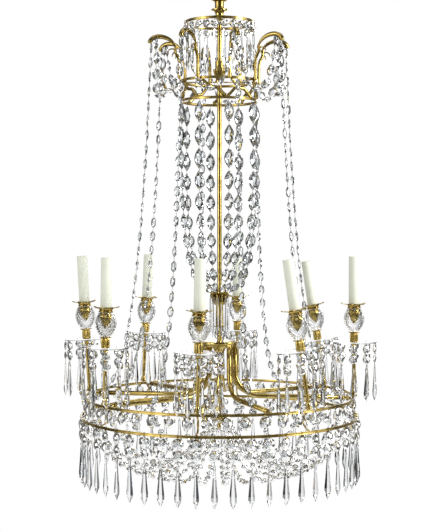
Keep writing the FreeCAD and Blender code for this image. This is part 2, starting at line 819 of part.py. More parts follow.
# number, azimuth beyond an even spacing, swing of the arm about its root, lean of the candle
# (positive towards +X), how much lower the candle stands
CANDLES = (
    (1, 0.0, 0.0, 1.2, 0.0),
    (2, 1.1, -18.5, -8.0, 0.0),
    (3, 0.0, 0.0, 0.0, 0.0),
    (4, -3.0, 0.0, -8.5, 12.0),
    (5, 0.0, 0.0, 0.0, 0.0),
    (6, 1.8, 0.0, 2.5, 0.0),
    (7, 0.0, 0.0, -3.0, 0.0),
    (8, 0.0, 0.0, 1.0, 0.0),
)

# how far a pan's strings are turned about its stem, so that they pass the ring and the arm freely
STRING_TURNS = {1: 0.5, 2: 14.0, 4: 7.0, 6: -8.0, 8: 7.5}


def candle_azimuth(number, shift):
    return cell.candle_azimuth.value + BAY * (number - 1) + shift


def tube_along(points, sides):
    """A tube through points (reach, height, radius) in the XZ plane, mitred where its width is
    even and cut upright where it changes."""
    rings = []
    last = len(points) - 1
    for index, (reach, height, radius) in enumerate(points):
        before = points[max(index - 1, 0)]
        after = points[min(index + 1, last)]
        if index < last and before[2] == radius == after[2]:
            second = Vector(after[0] - reach, 0, after[1] - height).normalize()
            first = Vector(reach - before[0], 0, height - before[1]).normalize() if index else second
            run = (first + second).normalize()
            side = Vector(-run.z, 0, run.x) * (radius / run.dot(first))
        else:
            side = Vector(0, 0, radius)
        ring = []
        for corner in range(sides):
            angle = 2 * math.pi * (corner + 0.5) / sides
            flank = Vector(0, radius, 0) * math.sin(angle)
            ring.append(Vector(reach, 0, height) + side * math.cos(angle) + flank)
        rings.append(ring)
    faces = [polygon_face(rings[0]), polygon_face(rings[-1])]
    for one, other in zip(rings, rings[1:]):
        for corner in range(sides):
            after = (corner + 1) % sides
            faces.append(polygon_face([one[corner], one[after], other[after], other[corner]]))
    return closed_solid(faces)


def make_candle_arm(number, shift, swing):
    """A J of tube from the arm disc's underside out to the mid ring, necked down to its band."""
    azimuth = candle_azimuth(number, shift)
    root = spot(cell.arm_root_radius, azimuth, 0)
    heading = compass(azimuth + swing)[0]
    towards = root.dot(heading)
    ring_inside = cell.mid_ring_radius.value
    for correction in range(3):
        reach = math.sqrt(towards ** 2 + ring_inside ** 2 - root.Length ** 2) - towards
        end = root + heading * reach
        end_azimuth = math.degrees(math.atan2(end.x, -end.y))
        ring_inside = large_band_inside(cell.mid_ring_radius, end_azimuth)
    radius = cell.arm_tube_radius.value
    neck = cell.large_band_height.value * 0.48
    skew = math.radians(azimuth + swing - end_azimuth)
    reach -= cell.seat_gap.value + neck * abs(math.tan(skew))
    bend = cell.arm_bend_radius.value
    level = arm_level.value
    seat = -cell.mid_ring_drop.value
    points = [(0.0, disc_floor.value, radius)]
    bend_points = arc_run((bend, level + bend), bend, 180, 270, 5)
    points += [(across, height, radius) for across, height in bend_points]
    points += [(reach - 3.2 * radius, level, radius), (reach - 1.8 * radius, seat, neck)]
    points += [(reach, seat, neck)]
    place = Placement(root, Rotation(Vector(0, 0, 1), azimuth + swing - 90))
    return set_shape(f"candle_arm_{number}", tube_along(points, 6), place)


def make_struts():
    """C-shaped bars that hang the lower ring from the mid ring, bulging inwards."""
    top = mid_ring_floor.value - cell.seat_gap.value
    foot = lower_ring_top.value + cell.seat_gap.value
    height = top - foot
    width = cell.strut_width.value
    thickness = cell.strut_thickness.value
    upper, lower = cell.mid_ring_radius.value, lower_ring_radius.value
    bulge = cell.strut_bulge.value
    middle = min(upper, lower) - bulge
    spine = [(upper, top), (middle + bulge * 0.25, top - height * 0.2), (middle, top - height * 0.5)]
    spine += [(middle + bulge * 0.3, top - height * 0.8), (lower, foot)]
    inside = [Vector(reach - width / 2, -thickness / 2, level) for reach, level in spine]
    outside = [Vector(reach + width / 2, -thickness / 2, level) for reach, level in spine]
    bar = polygon_face(inside + outside[::-1]).extrude(Vector(0, thickness, 0))
    pieces = [moved(bar, facing(candle_azimuth(number, 0))) for number in range(1, ARMS + 1)]
    return set_shape("ring_struts", Part.makeCompound(pieces))


# ---------------------------------------------------------------- candles


def candle_place(number, shift, lean, height=0.0):
    """Frame of a candle: on the mid ring's top, leaning in the plane of the front view."""
    azimuth = candle_azimuth(number, shift)
    tilt = Rotation(Vector(0, 1, 0), lean)
    turn = Rotation(Vector(0, 0, 1), azimuth - 90)
    lift = cell.seat_gap.value + cell.stem_tip_radius.value * abs(math.sin(math.radians(lean)))
    seat = spot(cell.mid_ring_radius, azimuth, mid_ring_top.value + lift)
    up = tilt.multVec(Vector(0, 0, 1))
    return Placement(seat + up * height, tilt.multiply(turn))


def eight_of(label, shape_at):
    """One piece for each candle, as separate solids of one node."""
    pieces = []
    for number, shift, swing, lean, sink in CANDLES:
        pieces.append(moved(shape_at(sink), candle_place(number, shift, lean, -sink)))
    return set_shape(label, Part.makeCompound(pieces))


def make_candle_stems():
    total = cell.candle_stem_height
    knob = cell.stem_knob_height

    def stem(sink):
        return turned_solid(6, (
            (cell.stem_tip_radius, sink),
            (cell.stem_knob_radius, knob * 0.6 + sink),
            (cell.stem_shaft_radius, knob * 2 + sink),
            (cell.stem_shaft_radius * 0.8, total - cell.stem_top_height),
            (cell.stem_top_radius, total),
        ))

    return eight_of("candle_stems", stem)


def make_stack(label, floor, sides, stations):
    """Eight like turned pieces, each standing at a height over its candle's seat."""
    solid = turned_solid(sides, stations)
    solid.translate(Vector(0, 0, float(floor)))
    return eight_of(label, lambda sink: solid)


pan_floor = cell.candle_stem_height
socket_floor = pan_floor + cell.pan_thickness
egg_floor = socket_floor + cell.socket_height + cell.socket_flange_height
egg_height = cell.egg_low_height + cell.egg_belly_height + cell.egg_neck_height
bobeche_floor = egg_floor + egg_height
bobeche_top = bobeche_floor + cell.bobeche_collar_height + cell.petal_thickness


def make_drip_pans():
    return make_stack("drip_pans", pan_floor, 10, (
        (cell.pan_foot_radius, NOUGHT),
        (cell.pan_radius, cell.pan_dish),
        (cell.pan_radius, cell.pan_dish + cell.pan_thickness * 0.6),
        (cell.pan_foot_radius, cell.pan_thickness),
    ))


def make_sockets():
    return make_stack("candle_sockets", socket_floor, 6, (
        (cell.socket_radius, NOUGHT),
        (cell.socket_radius, cell.socket_height),
        (cell.socket_flange_radius, cell.socket_height),
        (cell.socket_flange_radius, cell.socket_height + cell.socket_flange_height),
    ))


def make_glass_eggs():
    low = cell.egg_low_height
    high = low + cell.egg_belly_height
    wall = cell.egg_wall
    return make_stack("glass_eggs", egg_floor, 6, (
        (cell.egg_foot_radius, NOUGHT),
        (cell.egg_radius, low),
        (cell.egg_radius, high),
        (cell.egg_neck_radius, egg_height),
        (cell.egg_neck_radius - wall, egg_height),
        (cell.egg_radius - wall, high * 0.75),
        (cell.egg_foot_radius - wall, wall),
    ))


def make_nozzles():
    """Brass cones that stand in the eggs and show through the cut glass."""
    rim = cell.egg_neck_radius - cell.egg_wall - cell.seat_gap * 2
    return make_stack("candle_nozzles", egg_floor, 6, (
        (cell.nozzle_tip_radius, cell.egg_wall + cell.seat_gap),
        (cell.nozzle_tip_radius, cell.egg_low_height),
        (rim, egg_height),
    ))


def make_bobeches():
    """Collars topped by a star of petals."""
    bobeche = doc.addObject("PartDesign::Body", "bobeche_pattern")
    count = int(cell.petal_count.value)
    collar_sketch = sketch_on(bobeche, "XY_Plane", "bobeche_collar_sketch")
    regular_loop(collar_sketch, count, cell.bobeche_collar_radius, math.pi / count)
    whole = cell.bobeche_collar_height + cell.petal_thickness
    pad_sketch(bobeche, collar_sketch, "bobeche_collar", whole)
    star_sketch = sketch_on(bobeche, "XY_Plane", "bobeche_star_sketch")
    corners = []
    for corner in range(2 * count):
        angle = math.pi * corner / count
        radius = cell.petal_notch if corner % 2 else cell.petal_reach
        corners.append((radius * math.cos(angle), radius * math.sin(angle)))
    draw_outline(star_sketch, corners)
    lift = cell.bobeche_collar_height
    star_sketch.AttachmentOffset = Placement(Vector(0, 0, lift.value), Rotation())
    star_sketch.setExpression("AttachmentOffset.Base.z", lift.formula)
    bobeche.Tip = pad_sketch(bobeche, star_sketch, "bobeche_star", cell.petal_thickness)
    raise_to(bobeche, bobeche_floor)
    doc.recompute()
    solid = bobeche.Shape.Solids[0]
    return eight_of("bobeches", lambda sink: solid)


def make_lamp_holders():
    return make_stack("lamp_holders", bobeche_top, 6, (
        (cell.holder_radius, NOUGHT),
        (cell.holder_radius, cell.holder_height),
    ))


def make_candle_sleeve(number, shift, lean, sink):
    name = f"candle_sleeve_{number}"
    wall = polygon_prism(name + "_outside", 8, cell.sleeve_radius, cell.sleeve_height, NOUGHT)
    bore = polygon_prism(name + "_inside", 8, cell.sleeve_bore_radius, cell.sleeve_height, NOUGHT)
    sleeve = cut(name, wall, bore)
    sleeve.Placement = candle_place(number, shift, lean, float(bobeche_top + cell.seat_gap) - sink)
    return sleeve


# ---------------------------------------------------------------- bottom


def make_tail_rod():
    rod = doc.addObject("Part::Prism", "tail_rod")
    rod.Polygon = 8
    bind(rod, Circumradius=cell.tail_rod_radius, Height=disc_nose - bottom_disc_top)
    return raise_to(rod, bottom_disc_top)


def make_bottom_disc():
    dome = cell.finial_height + cell.bottom_dome_height
    return turned("bottom_disc", bottom_disc_floor - dome, 16, (
        (cell.finial_radius * 0.4, NOUGHT),
        (cell.finial_radius, cell.finial_height * 0.4),
        (cell.finial_radius * 0.5, cell.finial_height),
        (cell.bottom_dome_radius, cell.finial_height + cell.bottom_dome_height * 0.3),
        (cell.bottom_dome_radius, dome),
        (cell.bottom_disc_radius, dome),
        (cell.bottom_disc_radius, dome + cell.bottom_disc_height),
    ))


# ---------------------------------------------------------------- crystals


def make_top_ring_crystals():
    pieces = []
    count = int(cell.top_string_count.value)
    for index in range(count):
        azimuth = 360 * (index + 0.5) / count
        outwards, along = compass(azimuth)
        start = spot(cell.top_ring_radius, azimuth, top_ring_floor)
        size = cell.top_bead_size
        pieces += string_down(start, along, outwards, (
            (size, size, cell.bead_depth, 0.5, 4),
            (cell.top_prism_length, cell.top_prism_width, cell.top_prism_width * 0.8, 0.75, 3),
        ))
    return set_shape("top_ring_crystals", Part.makeCompound(pieces))


def make_outer_chains():
    pieces = []
    reach, height = under_crown_arm(cell.chain_hook_inset.value)
    for number in range(ARMS):
        azimuth = cell.crown_arm_azimuth.value + BAY * number
        outwards, along = compass(azimuth)
        start = spot(reach, azimuth, height - cell.seat_gap.value)
        end = spot(cell.mid_ring_radius, azimuth, mid_ring_top + cell.seat_gap)
        curve, length = hanging_curve(start, end, cell.chain_slack.value)
        count = round(length / cell.chain_pitch.value)
        width = cell.chain_width.value
        share = cell.chain_depth.value / width
        pieces += garland(curve, count, lambda part: width, share, lambda point: along)
    return set_shape("outer_chains", Part.makeCompound(pieces))


def strand_curve(azimuth):
    """An inner strand: down from the lower crown ring, then drawn in to the lower collar."""
    top = spot(cell.crown_ring_radius, azimuth, crown_lower_floor - cell.seat_gap)
    foot = spot(cell.collar_flare_radius + cell.seat_gap, azimuth, collar_flare_top)
    outwards, along = compass(azimuth)
    belly = cell.strand_belly.value
    height = top.z - foot.z
    middle = outwards * (belly * 1.02) + Vector(0, 0, top.z - height * 0.5)
    low = outwards * (belly * 0.92) + Vector(0, 0, foot.z + height * 0.03)
    bow = Part.BezierCurve()
    bow.setPoles([top, middle, low, foot])
    length = bow.length()

    def at(share):
        return bow.value(bow.parameterAtDistance(length * share, 0))

    return at, length


def make_inner_strands():
    pieces = []
    for number in range(ARMS):
        azimuth = cell.crown_arm_azimuth.value + BAY * number
        outwards, along = compass(azimuth)
        curve, length = strand_curve(azimuth)
        count = round(length / cell.strand_pitch.value)
        taper = cell.strand_taper.value
        width = cell.strand_width.value
        even = 2 / (1 + taper)

        def eased(share, curve=curve):
            return curve(even * (share - (1 - taper) * share ** 2 / 2))

        pieces += garland(
            eased, count, lambda share: width * (1 - (1 - taper) * share), 0.8, lambda point: along
        )
    return set_shape("inner_strands", Part.makeCompound(pieces))


def make_swags():
    """Garlands between neighbouring crown arms, with their largest crystals lowest."""
    pieces = []
    reach, height = under_crown_arm(cell.swag_hook_inset.value)
    height += crown_arm_width_at(0.8) / 2
    half_arm = cell.crown_arm_thickness.value / 2 + cell.seat_gap.value * 0.8
    aside = math.degrees(half_arm / reach)
    small, large = cell.swag_end_width.value, cell.swag_middle_width.value
    count = int(cell.swag_count.value)
    for number in range(ARMS):
        first = cell.crown_arm_azimuth.value + BAY * number
        start = spot(reach, first + aside, height)
        end = spot(reach, first + BAY - aside, height)
        scale = scale_for_sag((end - start).Length, cell.swag_sag.value)
        curve, length = hanging_curve(start, end, scale)
        outwards, along = compass(first + BAY / 2)
        sideways = outwards.negative()
        pieces += garland(
            curve, count, lambda share: small + (large - small) * math.sin(math.pi * share) ** 2,
            0.7, lambda point: sideways,
        )
    return set_shape("crown_swags", Part.makeCompound(pieces))


def make_pan_crystals():
    pieces = []
    count = int(cell.pan_string_count.value)
    ring = (cell.pan_radius - cell.pan_string_inset).value
    slope = cell.pan_dish.value / (cell.pan_radius.value - cell.pan_foot_radius.value)
    under = (ring - cell.pan_foot_radius.value) * slope
    for number, shift, swing, lean, sink in CANDLES:
        place = candle_place(number, shift, lean, float(pan_floor) - sink)
        slack = cell.pan_bead_width.value / 2 * abs(math.sin(math.radians(lean)))
        for index in range(count):
            angle = 2 * math.pi * (index + 0.5) / count + math.radians(STRING_TURNS.get(number, 0.0))
            rim = place.multVec(Vector(ring * math.cos(angle), ring * math.sin(angle), under))
            rim.z -= slack * 0.1
            outwards, along = compass(candle_azimuth(number, shift) + math.degrees(angle))
            pieces += string_down(rim, along, outwards, (
                (cell.pan_bead_height, cell.pan_bead_width, cell.bead_depth * 0.7, 0.5, 4),
                (cell.pan_prism_length, cell.pan_prism_width, cell.pan_prism_width * 0.8, 0.7, 3),
            ))
    return set_shape("pan_crystals", Part.makeCompound(pieces))


def make_mid_ring_beads():
    pieces = []
    count = int(cell.mid_bead_count.value)
    for index in range(count):
        azimuth = cell.candle_azimuth.value + 360 * (index + 0.5) / count
        outwards, along = compass(azimuth)
        start = spot(cell.mid_ring_radius, azimuth, mid_ring_floor)
        size = cell.mid_bead_size
        pieces += string_down(start, along, outwards, ((size, size, cell.bead_depth, 0.55, 4),))
    return set_shape("mid_ring_beads", Part.makeCompound(pieces))


def make_lower_ring_crystals():
    pieces = []
    count = int(cell.lower_string_count.value)
    for index in range(count):
        azimuth = 360 * (index + 0.73) / count
        outwards, along = compass(azimuth)
        start = spot(lower_ring_radius, azimuth, lower_ring_floor)
        large, small = cell.lower_bead_size, cell.lower_small_bead_size
        pieces += string_down(start, along, outwards, (
            (cell.lower_bead_pitch, large, cell.bead_depth, 0.5, 4),
            (cell.lower_bead_pitch, small, cell.bead_depth * 0.8, 0.5, 4),
            (cell.icicle_length, cell.icicle_width, cell.icicle_width * 0.8, 0.72, 3),
        ))
    return set_shape("lower_ring_crystals", Part.makeCompound(pieces))


def make_festoons():
    """Radial garlands of small beads from the bottom disc to the lower ring."""
    pieces = []
    count = int(cell.festoon_count.value)
    beads = int(cell.festoon_beads.value)
    for index in range(count):
        azimuth = 360 * (index + 0.25) / count
        ring_inside = large_band_inside(lower_ring_radius, azimuth) - cell.seat_gap.value
        outwards, along = compass(azimuth)
        inner = spot(
            cell.bottom_disc_radius + cell.seat_gap, azimuth,
            bottom_disc_floor + cell.bottom_disc_height / 2,
        )
        outer = spot(ring_inside, azimuth, lower_ring_floor + cell.large_band_height / 2)
        scale = scale_for_sag((outer - inner).Length, cell.festoon_sag.value)
        curve, length = hanging_curve(inner, outer, scale)
        width = cell.festoon_bead_width.value

        def slim(share):
            near_axis = 1 - share
            return width * (1 - 0.5 * max(0.0, near_axis - 0.6) / 0.4)

        pieces += garland(curve, beads, slim, 0.8, lambda point: along, 3)
    return set_shape("bottom_festoons", Part.makeCompound(pieces))


def make_skirt():
    """Long prisms under the lower collar's flare."""
    pieces = []
    count = int(cell.skirt_count.value)
    slope = cell.collar_flare_height.value / (cell.collar_flare_radius - cell.collar_radius).value
    reach = cell.skirt_radius.value
    under = (collar_floor + cell.collar_height).value + (reach - cell.collar_radius.value) * slope
    for index in range(count):
        azimuth = 360 * (index + 0.5) / count
        outwards, along = compass(azimuth)
        pieces += string_down(spot(reach, azimuth, under - cell.seat_gap.value), along, outwards, (
            (cell.skirt_length, cell.skirt_width * 0.7, cell.skirt_width * 0.5, 0.7, 3),
        ))
    return set_shape("skirt_prisms", Part.makeCompound(pieces))


# ---------------------------------------------------------------- assembly

node(make_suspension_eye())
node(make_top_fitting())
node(make_spoked_ring("top_ring", cell.top_ring_radius, cell.top_ring_hub_height, top_ring_floor, 24, 4))
node(make_central_rod())
node(make_crown_hub())
node(make_spoked_ring("crown_upper_ring", cell.crown_ring_radius, cell.crown_hub_height, crown_floor, 24, 4))
node(make_band(
    "crown_lower_ring", cell.crown_ring_radius, cell.band_thickness, cell.band_height,
    crown_lower_floor, 24,
))
node(make_brackets())
for arm_number in range(1, ARMS + 1):
    node(make_crown_arm(arm_number))
node(make_lower_collar())
node(make_fluted_stem())
node(make_glass_knob())
node(make_arm_disc())
for arm_number, azimuth_shift, arm_swing, candle_lean, candle_sink in CANDLES:
    node(make_candle_arm(arm_number, azimuth_shift, arm_swing))
node(make_large_band("mid_ring", cell.mid_ring_radius, mid_ring_floor))
node(make_large_band("lower_ring", lower_ring_radius, lower_ring_floor))
node(make_struts())
node(make_candle_stems())
node(make_drip_pans())
node(make_sockets())
node(make_glass_eggs())
node(make_nozzles())
node(make_bobeches())
node(make_lamp_holders())
for arm_number, azimuth_shift, arm_swing, candle_lean, candle_sink in CANDLES:
    node(make_candle_sleeve(arm_number, azimuth_shift, candle_lean, candle_sink))
node(make_tail_rod())
node(make_bottom_disc())
node(make_top_ring_crystals())
node(make_outer_chains())
node(make_inner_strands())
node(make_swags())
node(make_pan_crystals())
node(make_mid_ring_beads())
node(make_lower_ring_crystals())
node(make_festoons())
node(make_skirt())
doc.recompute()

# ---------------------------------------------------------------- tests and STEP files

for thing in doc.Objects:
    if "Invalid" in thing.State or "Error" in thing.State:
        raise RuntimeError(f"{thing.Name} failed: {thing.State}")
for piece in nodes:
    if piece.Shape.isNull() or not piece.Shape.isValid():
        raise RuntimeError(f"{piece.Label} has no valid shape")

os.makedirs("parts", exist_ok=True)
for piece in nodes:
    piece.Shape.exportStep(f"parts/{piece.Label}.step")
print(f"{len(nodes)} nodes, {sum(len(piece.Shape.Solids) for piece in nodes)} solids")
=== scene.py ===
import json
import math
import random

import bpy
from mathutils import Matrix, Vector


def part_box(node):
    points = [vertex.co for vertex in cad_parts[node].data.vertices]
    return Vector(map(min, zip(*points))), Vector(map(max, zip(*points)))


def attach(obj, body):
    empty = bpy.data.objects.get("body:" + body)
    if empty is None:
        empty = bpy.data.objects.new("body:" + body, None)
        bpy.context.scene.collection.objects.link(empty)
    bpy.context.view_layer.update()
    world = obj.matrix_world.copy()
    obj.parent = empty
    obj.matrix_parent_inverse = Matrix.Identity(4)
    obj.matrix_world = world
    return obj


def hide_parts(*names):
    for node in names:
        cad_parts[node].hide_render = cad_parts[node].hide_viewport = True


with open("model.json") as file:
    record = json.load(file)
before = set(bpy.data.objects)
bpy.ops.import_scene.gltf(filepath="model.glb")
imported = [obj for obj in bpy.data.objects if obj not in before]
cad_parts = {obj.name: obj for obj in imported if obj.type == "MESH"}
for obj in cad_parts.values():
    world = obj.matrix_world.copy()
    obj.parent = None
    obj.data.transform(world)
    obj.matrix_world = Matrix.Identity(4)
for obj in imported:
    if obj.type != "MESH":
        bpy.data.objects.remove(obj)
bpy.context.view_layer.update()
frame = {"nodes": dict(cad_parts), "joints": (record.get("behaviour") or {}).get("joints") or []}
chance = random.Random(7)
MM = 0.001
UP = Vector((0, 0, 1))
LEVEL = Vector((1, 1, 0))
FILLET = 0.35 * MM
CHANDELIER = "chandelier"
ARMS = 8
ARM_STEP = 360 / ARMS
ARM_NUMBERS = range(1, ARMS + 1)


# ---------------------------------------------------------------- materials

BRASS_TONES = (
    (0.3, (0.30, 0.21, 0.05)), (0.5, (0.50, 0.37, 0.11)), (0.72, (0.68, 0.53, 0.20)),
)
WIRE_TONES = (
    (0.3, (0.05, 0.035, 0.012)), (0.5, (0.10, 0.07, 0.025)), (0.72, (0.18, 0.13, 0.05)),
)
IVORY_TONES = ((0.3, (0.84, 0.87, 0.73)), (0.7, (0.89, 0.92, 0.79)))
HOLDER_TONES = ((0.3, (0.020, 0.018, 0.016)), (0.7, (0.045, 0.040, 0.034)))
FLOOR_TONES = ((0.3, (0.84, 0.84, 0.83)), (0.7, (0.88, 0.88, 0.87)))


def noise(tree, scale):
    place = tree.nodes.new("ShaderNodeTexCoord")
    texture = tree.nodes.new("ShaderNodeTexNoise")
    texture.inputs["Scale"].default_value = scale
    texture.inputs["Detail"].default_value = 3.0
    texture.inputs["Roughness"].default_value = 0.6
    tree.links.new(place.outputs["Object"], texture.inputs["Vector"])
    return texture.outputs["Fac"]


def ramp(tree, source, stops):
    """The colour that a value has on a scale of (position, colour) stops."""
    node = tree.nodes.new("ShaderNodeValToRGB")
    first, last = node.color_ramp.elements
    first.position, first.color = stops[0][0], (*stops[0][1], 1)
    last.position, last.color = stops[-1][0], (*stops[-1][1], 1)
    for position, colour in stops[1:-1]:
        element = node.color_ramp.elements.new(position)
        element.color = (*colour, 1)
    tree.links.new(source, node.inputs["Fac"])
    return node.outputs["Color"]


def tinted(name, scale, tones, values):
    """A material whose colour wanders between tones; values go on the shader's own sockets."""
    material = bpy.data.materials.new(name)
    material.use_nodes = True
    tree = material.node_tree
    shader = tree.nodes["Principled BSDF"]
    cloud = noise(tree, scale)
    tree.links.new(ramp(tree, cloud, tones), shader.inputs["Base Color"])
    for socket, value in values.items():
        shader.inputs[socket].default_value = value
    return material, tree, shader, cloud


def make_brass(name, tones):
    material, tree, shader, cloud = tinted(name, 40.0, tones, {"Metallic": 1.0})
    gloss = tree.nodes.new("ShaderNodeMapRange")
    gloss.inputs["To Min"].default_value = 0.10
    gloss.inputs["To Max"].default_value = 0.26
    tree.links.new(noise(tree, 160.0), gloss.inputs["Value"])
    tree.links.new(gloss.outputs["Result"], shader.inputs["Roughness"])
    bump = tree.nodes.new("ShaderNodeBump")
    bump.inputs["Strength"].default_value = 0.05
    bump.inputs["Distance"].default_value = 0.0005
    tree.links.new(cloud, bump.inputs["Height"])
    tree.links.new(bump.outputs["Normal"], shader.inputs["Normal"])
    return material


def make_crystal(name, dim, clear, bend):
    """Clear glass; bend is how strongly it refracts."""
    return tinted(name, 35.0, ((0.3, dim), (0.7, clear)), {
        "Transmission Weight": 1.0, "IOR": bend, "Roughness": 0.0,
    })[0]


brass = make_brass("brass", BRASS_TONES)
dull_brass = make_brass("dull_brass", WIRE_TONES)
crystal = make_crystal("crystal", (0.70, 0.73, 0.75), (0.92, 0.94, 0.95), 1.62)
drop_glass = make_crystal("drop_glass", (0.90, 0.92, 0.93), (1.0, 1.0, 1.0), 1.34)
cut_glass = make_crystal("cut_glass", (0.97, 0.98, 0.98), (1.0, 1.0, 1.0), 1.21)
ivory = tinted("sleeve_ivory", 45.0, IVORY_TONES, {
    "Roughness": 0.55, "Specular IOR Level": 0.35,
})[0]
holder_black = tinted("holder_black", 90.0, HOLDER_TONES, {"Roughness": 0.35})[0]


# ---------------------------------------------------------------- mesh building


class Shape:
    """Gathers faces of one piece, then makes one mesh object of them."""

    def __init__(self):
        self.points = []
        self.faces = []
        self.smooth = []

    def add(self, points, faces, smooth=False):
        first = len(self.points)
        self.points += [Vector(point) for point in points]
        for face in faces:
            self.faces.append([first + corner for corner in face])
            self.smooth.append(smooth)

    def rings(self, rings, smooth=False, looped=False):
        """Skins rings of points, and closes the ends unless the rings come round again."""
        around = len(rings[0])
        faces = []
        for index in range(len(rings) if looped else len(rings) - 1):
            one = index * around
            other = (index + 1) % len(rings) * around
            for corner in range(around):
                after = (corner + 1) % around
                faces.append([one + corner, one + after, other + after, other + corner])
        if not looped:
            faces.append(list(range(around))[::-1])
            faces.append([(len(rings) - 1) * around + corner for corner in range(around)])
        self.add([point for ring in rings for point in ring], faces, smooth)

    def make(self, name, material, slot, replaces=(), body=CHANDELIER):
        mesh = bpy.data.meshes.new(name)
        mesh.from_pydata(self.points, [], self.faces)
        mesh.validate()
        for polygon, smooth in zip(mesh.polygons, self.smooth):
            polygon.use_smooth = smooth
        mesh.materials.append(material)
        thing = bpy.data.objects.new(name, mesh)
        bpy.context.scene.collection.objects.link(thing)
        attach(thing, body)
        if replaces:
            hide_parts(*replaces)

    def cast(self, name, node):
        self.make(name, brass, "brass", (node,))

    def make_wires(self, name):
        self.make(name, dull_brass, "brass")


def mm(*pairs):
    """Pairs of millimetres, in metres."""
    return [(one * MM, other * MM) for one, other in pairs]


def foot(node):
    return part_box(node)[0].z


def upright(height):
    return Matrix.Translation((0, 0, height))


def compass(azimuth):
    """Outwards at an azimuth, and the level direction square to it."""
    angle = math.radians(azimuth)
    return (
        Vector((math.sin(angle), -math.cos(angle), 0)),
        Vector((math.cos(angle), math.sin(angle), 0)),
    )


def arc(centre, radius, first, last, steps):
    """Points (reach, height) of an arc, angles in degrees."""
    out = []
    for step in range(steps + 1):
        angle = math.radians(first + (last - first) * step / steps)
        out.append((centre[0] + radius * math.cos(angle), centre[1] + radius * math.sin(angle)))
    return out


def smooth_path(points, steps=4):
    """A rounded path through (reach, height) points."""
    ends = [points[0]] + list(points) + [points[-1]]
    out = []
    for before, one, other, after in zip(ends, ends[1:], ends[2:], ends[3:]):
        for step in range(steps):
            share = step / steps
            pair = []
            for a, b, c, d in zip(before, one, other, after):
                pair.append(0.5 * (
                    2 * b + (c - a) * share + (2 * a - 5 * b + 4 * c - d) * share ** 2
                    + (3 * b - a - 3 * c + d) * share ** 3
                ))
            out.append(tuple(pair))
    out.append(tuple(points[-1]))
    return out


def rounded(profile, fillet, steps=2):
    """A profile of (radius, height) with its corners rounded a little."""
    flat = [Vector((radius, height)) for radius, height in profile]
    out = [flat[0]]
    for before, here, after in zip(flat, flat[1:], flat[2:]):
        reach = min(fillet, (here - before).length * 0.45, (after - here).length * 0.45)
        if reach < 1e-6:
            out.append(here)
            continue
        first = here + (before - here).normalized() * reach
        last = here + (after - here).normalized() * reach
        for step in range(steps + 1):
            share = step / steps
            out.append(
                first * (1 - share) ** 2 + here * 2 * share * (1 - share) + last * share ** 2
            )
    out.append(flat[-1])
    return [(point.x, point.y) for point in out]


def lobes(depth, count, low=0.0, high=math.inf):
    """A ripple for turn: count hollows round the form, between two heights in millimetres."""

    def scale(angle, height):
        if not low * MM < height < high * MM:
            return 1.0
        return 1.0 - depth * (0.5 + 0.5 * math.cos(angle * count))

    return scale


def turn(shape, place, profile, around=32, ripple=None, looped=False, fillet=FILLET):
    """Adds a turned form. ripple(angle, height) scales the radius; looped is for a ring, whose
    profile comes round again."""
    stations = rounded(profile + profile[:1], fillet)[:-1] if looped else rounded(profile, fillet)
    rings = []
    for radius, height in stations:
        ring = []
        for corner in range(around):
            angle = 2 * math.pi * corner / around
            scale = ripple(angle, height) if ripple else 1.0
            ring.append(place @ Vector((
                radius * scale * math.cos(angle), radius * scale * math.sin(angle), height
            )))
        rings.append(ring)
    shape.rings(rings, True, looped)


def turned(node, profile, around=32, ripple=None, looped=False, fillet=FILLET):
    """A new shape, turned about the axis from a node's foot up; the profile in millimetres."""
    shape = Shape()
    turn(shape, upright(foot(node)), mm(*profile), around, ripple, looped, fillet)
    return shape


def tube(shape, path, radius, sides=8, flat=None, taper=None):
    """A bar along a path. flat is (normal, width share) for a bar that is wider one way;
    taper(share) scales the radius."""
    rings = []
    last = len(path) - 1
    run = (path[1] - path[0]).normalized()
    side = run.cross(UP if abs(run.z) < 0.9 else Vector((1, 0, 0))).normalized()
    if flat:
        side = flat[0].normalized()
    for index, point in enumerate(path):
        run = (path[min(index + 1, last)] - path[max(index - 1, 0)]).normalized()
        side = (side - run * side.dot(run)).normalized()
        other = run.cross(side)
        size = radius * (taper(index / last) if taper else 1.0)
        ring = []
        for corner in range(sides):
            angle = 2 * math.pi * (corner + 0.5) / sides
            across = side * (math.cos(angle) * size * (flat[1] if flat else 1.0))
            ring.append(point + across + other * (math.sin(angle) * size))
        rings.append(ring)
    shape.rings(rings, True)


def leaf(shape, path, radius, across, swell, sides=16, groove=0.76):
    """A cast leaf along a path: ribbed, and as broad as swell(share) says."""
    rings = []
    last = len(path) - 1
    for index, point in enumerate(path):
        run = (path[min(index + 1, last)] - path[max(index - 1, 0)]).normalized()
        other = run.cross(across).normalized()
        size = radius * swell(index / last)
        ring = []
        for corner in range(sides):
            angle = 2 * math.pi * corner / sides
            rib = 1.0 if corner % 2 else groove
            offset = across * math.cos(angle) * 1.1 + other * math.sin(angle)
            ring.append(point + offset * (size * rib))
        rings.append(ring)
    shape.rings(rings, True)


def planted(points, outwards, low):
    """A path through (reach, height) points in millimetres, in the plane of a direction."""
    return [
        outwards * (reach * MM) + UP * (low + height * MM)
        for reach, height in smooth_path(points)
    ]


# ---------------------------------------------------------------- cut crystals

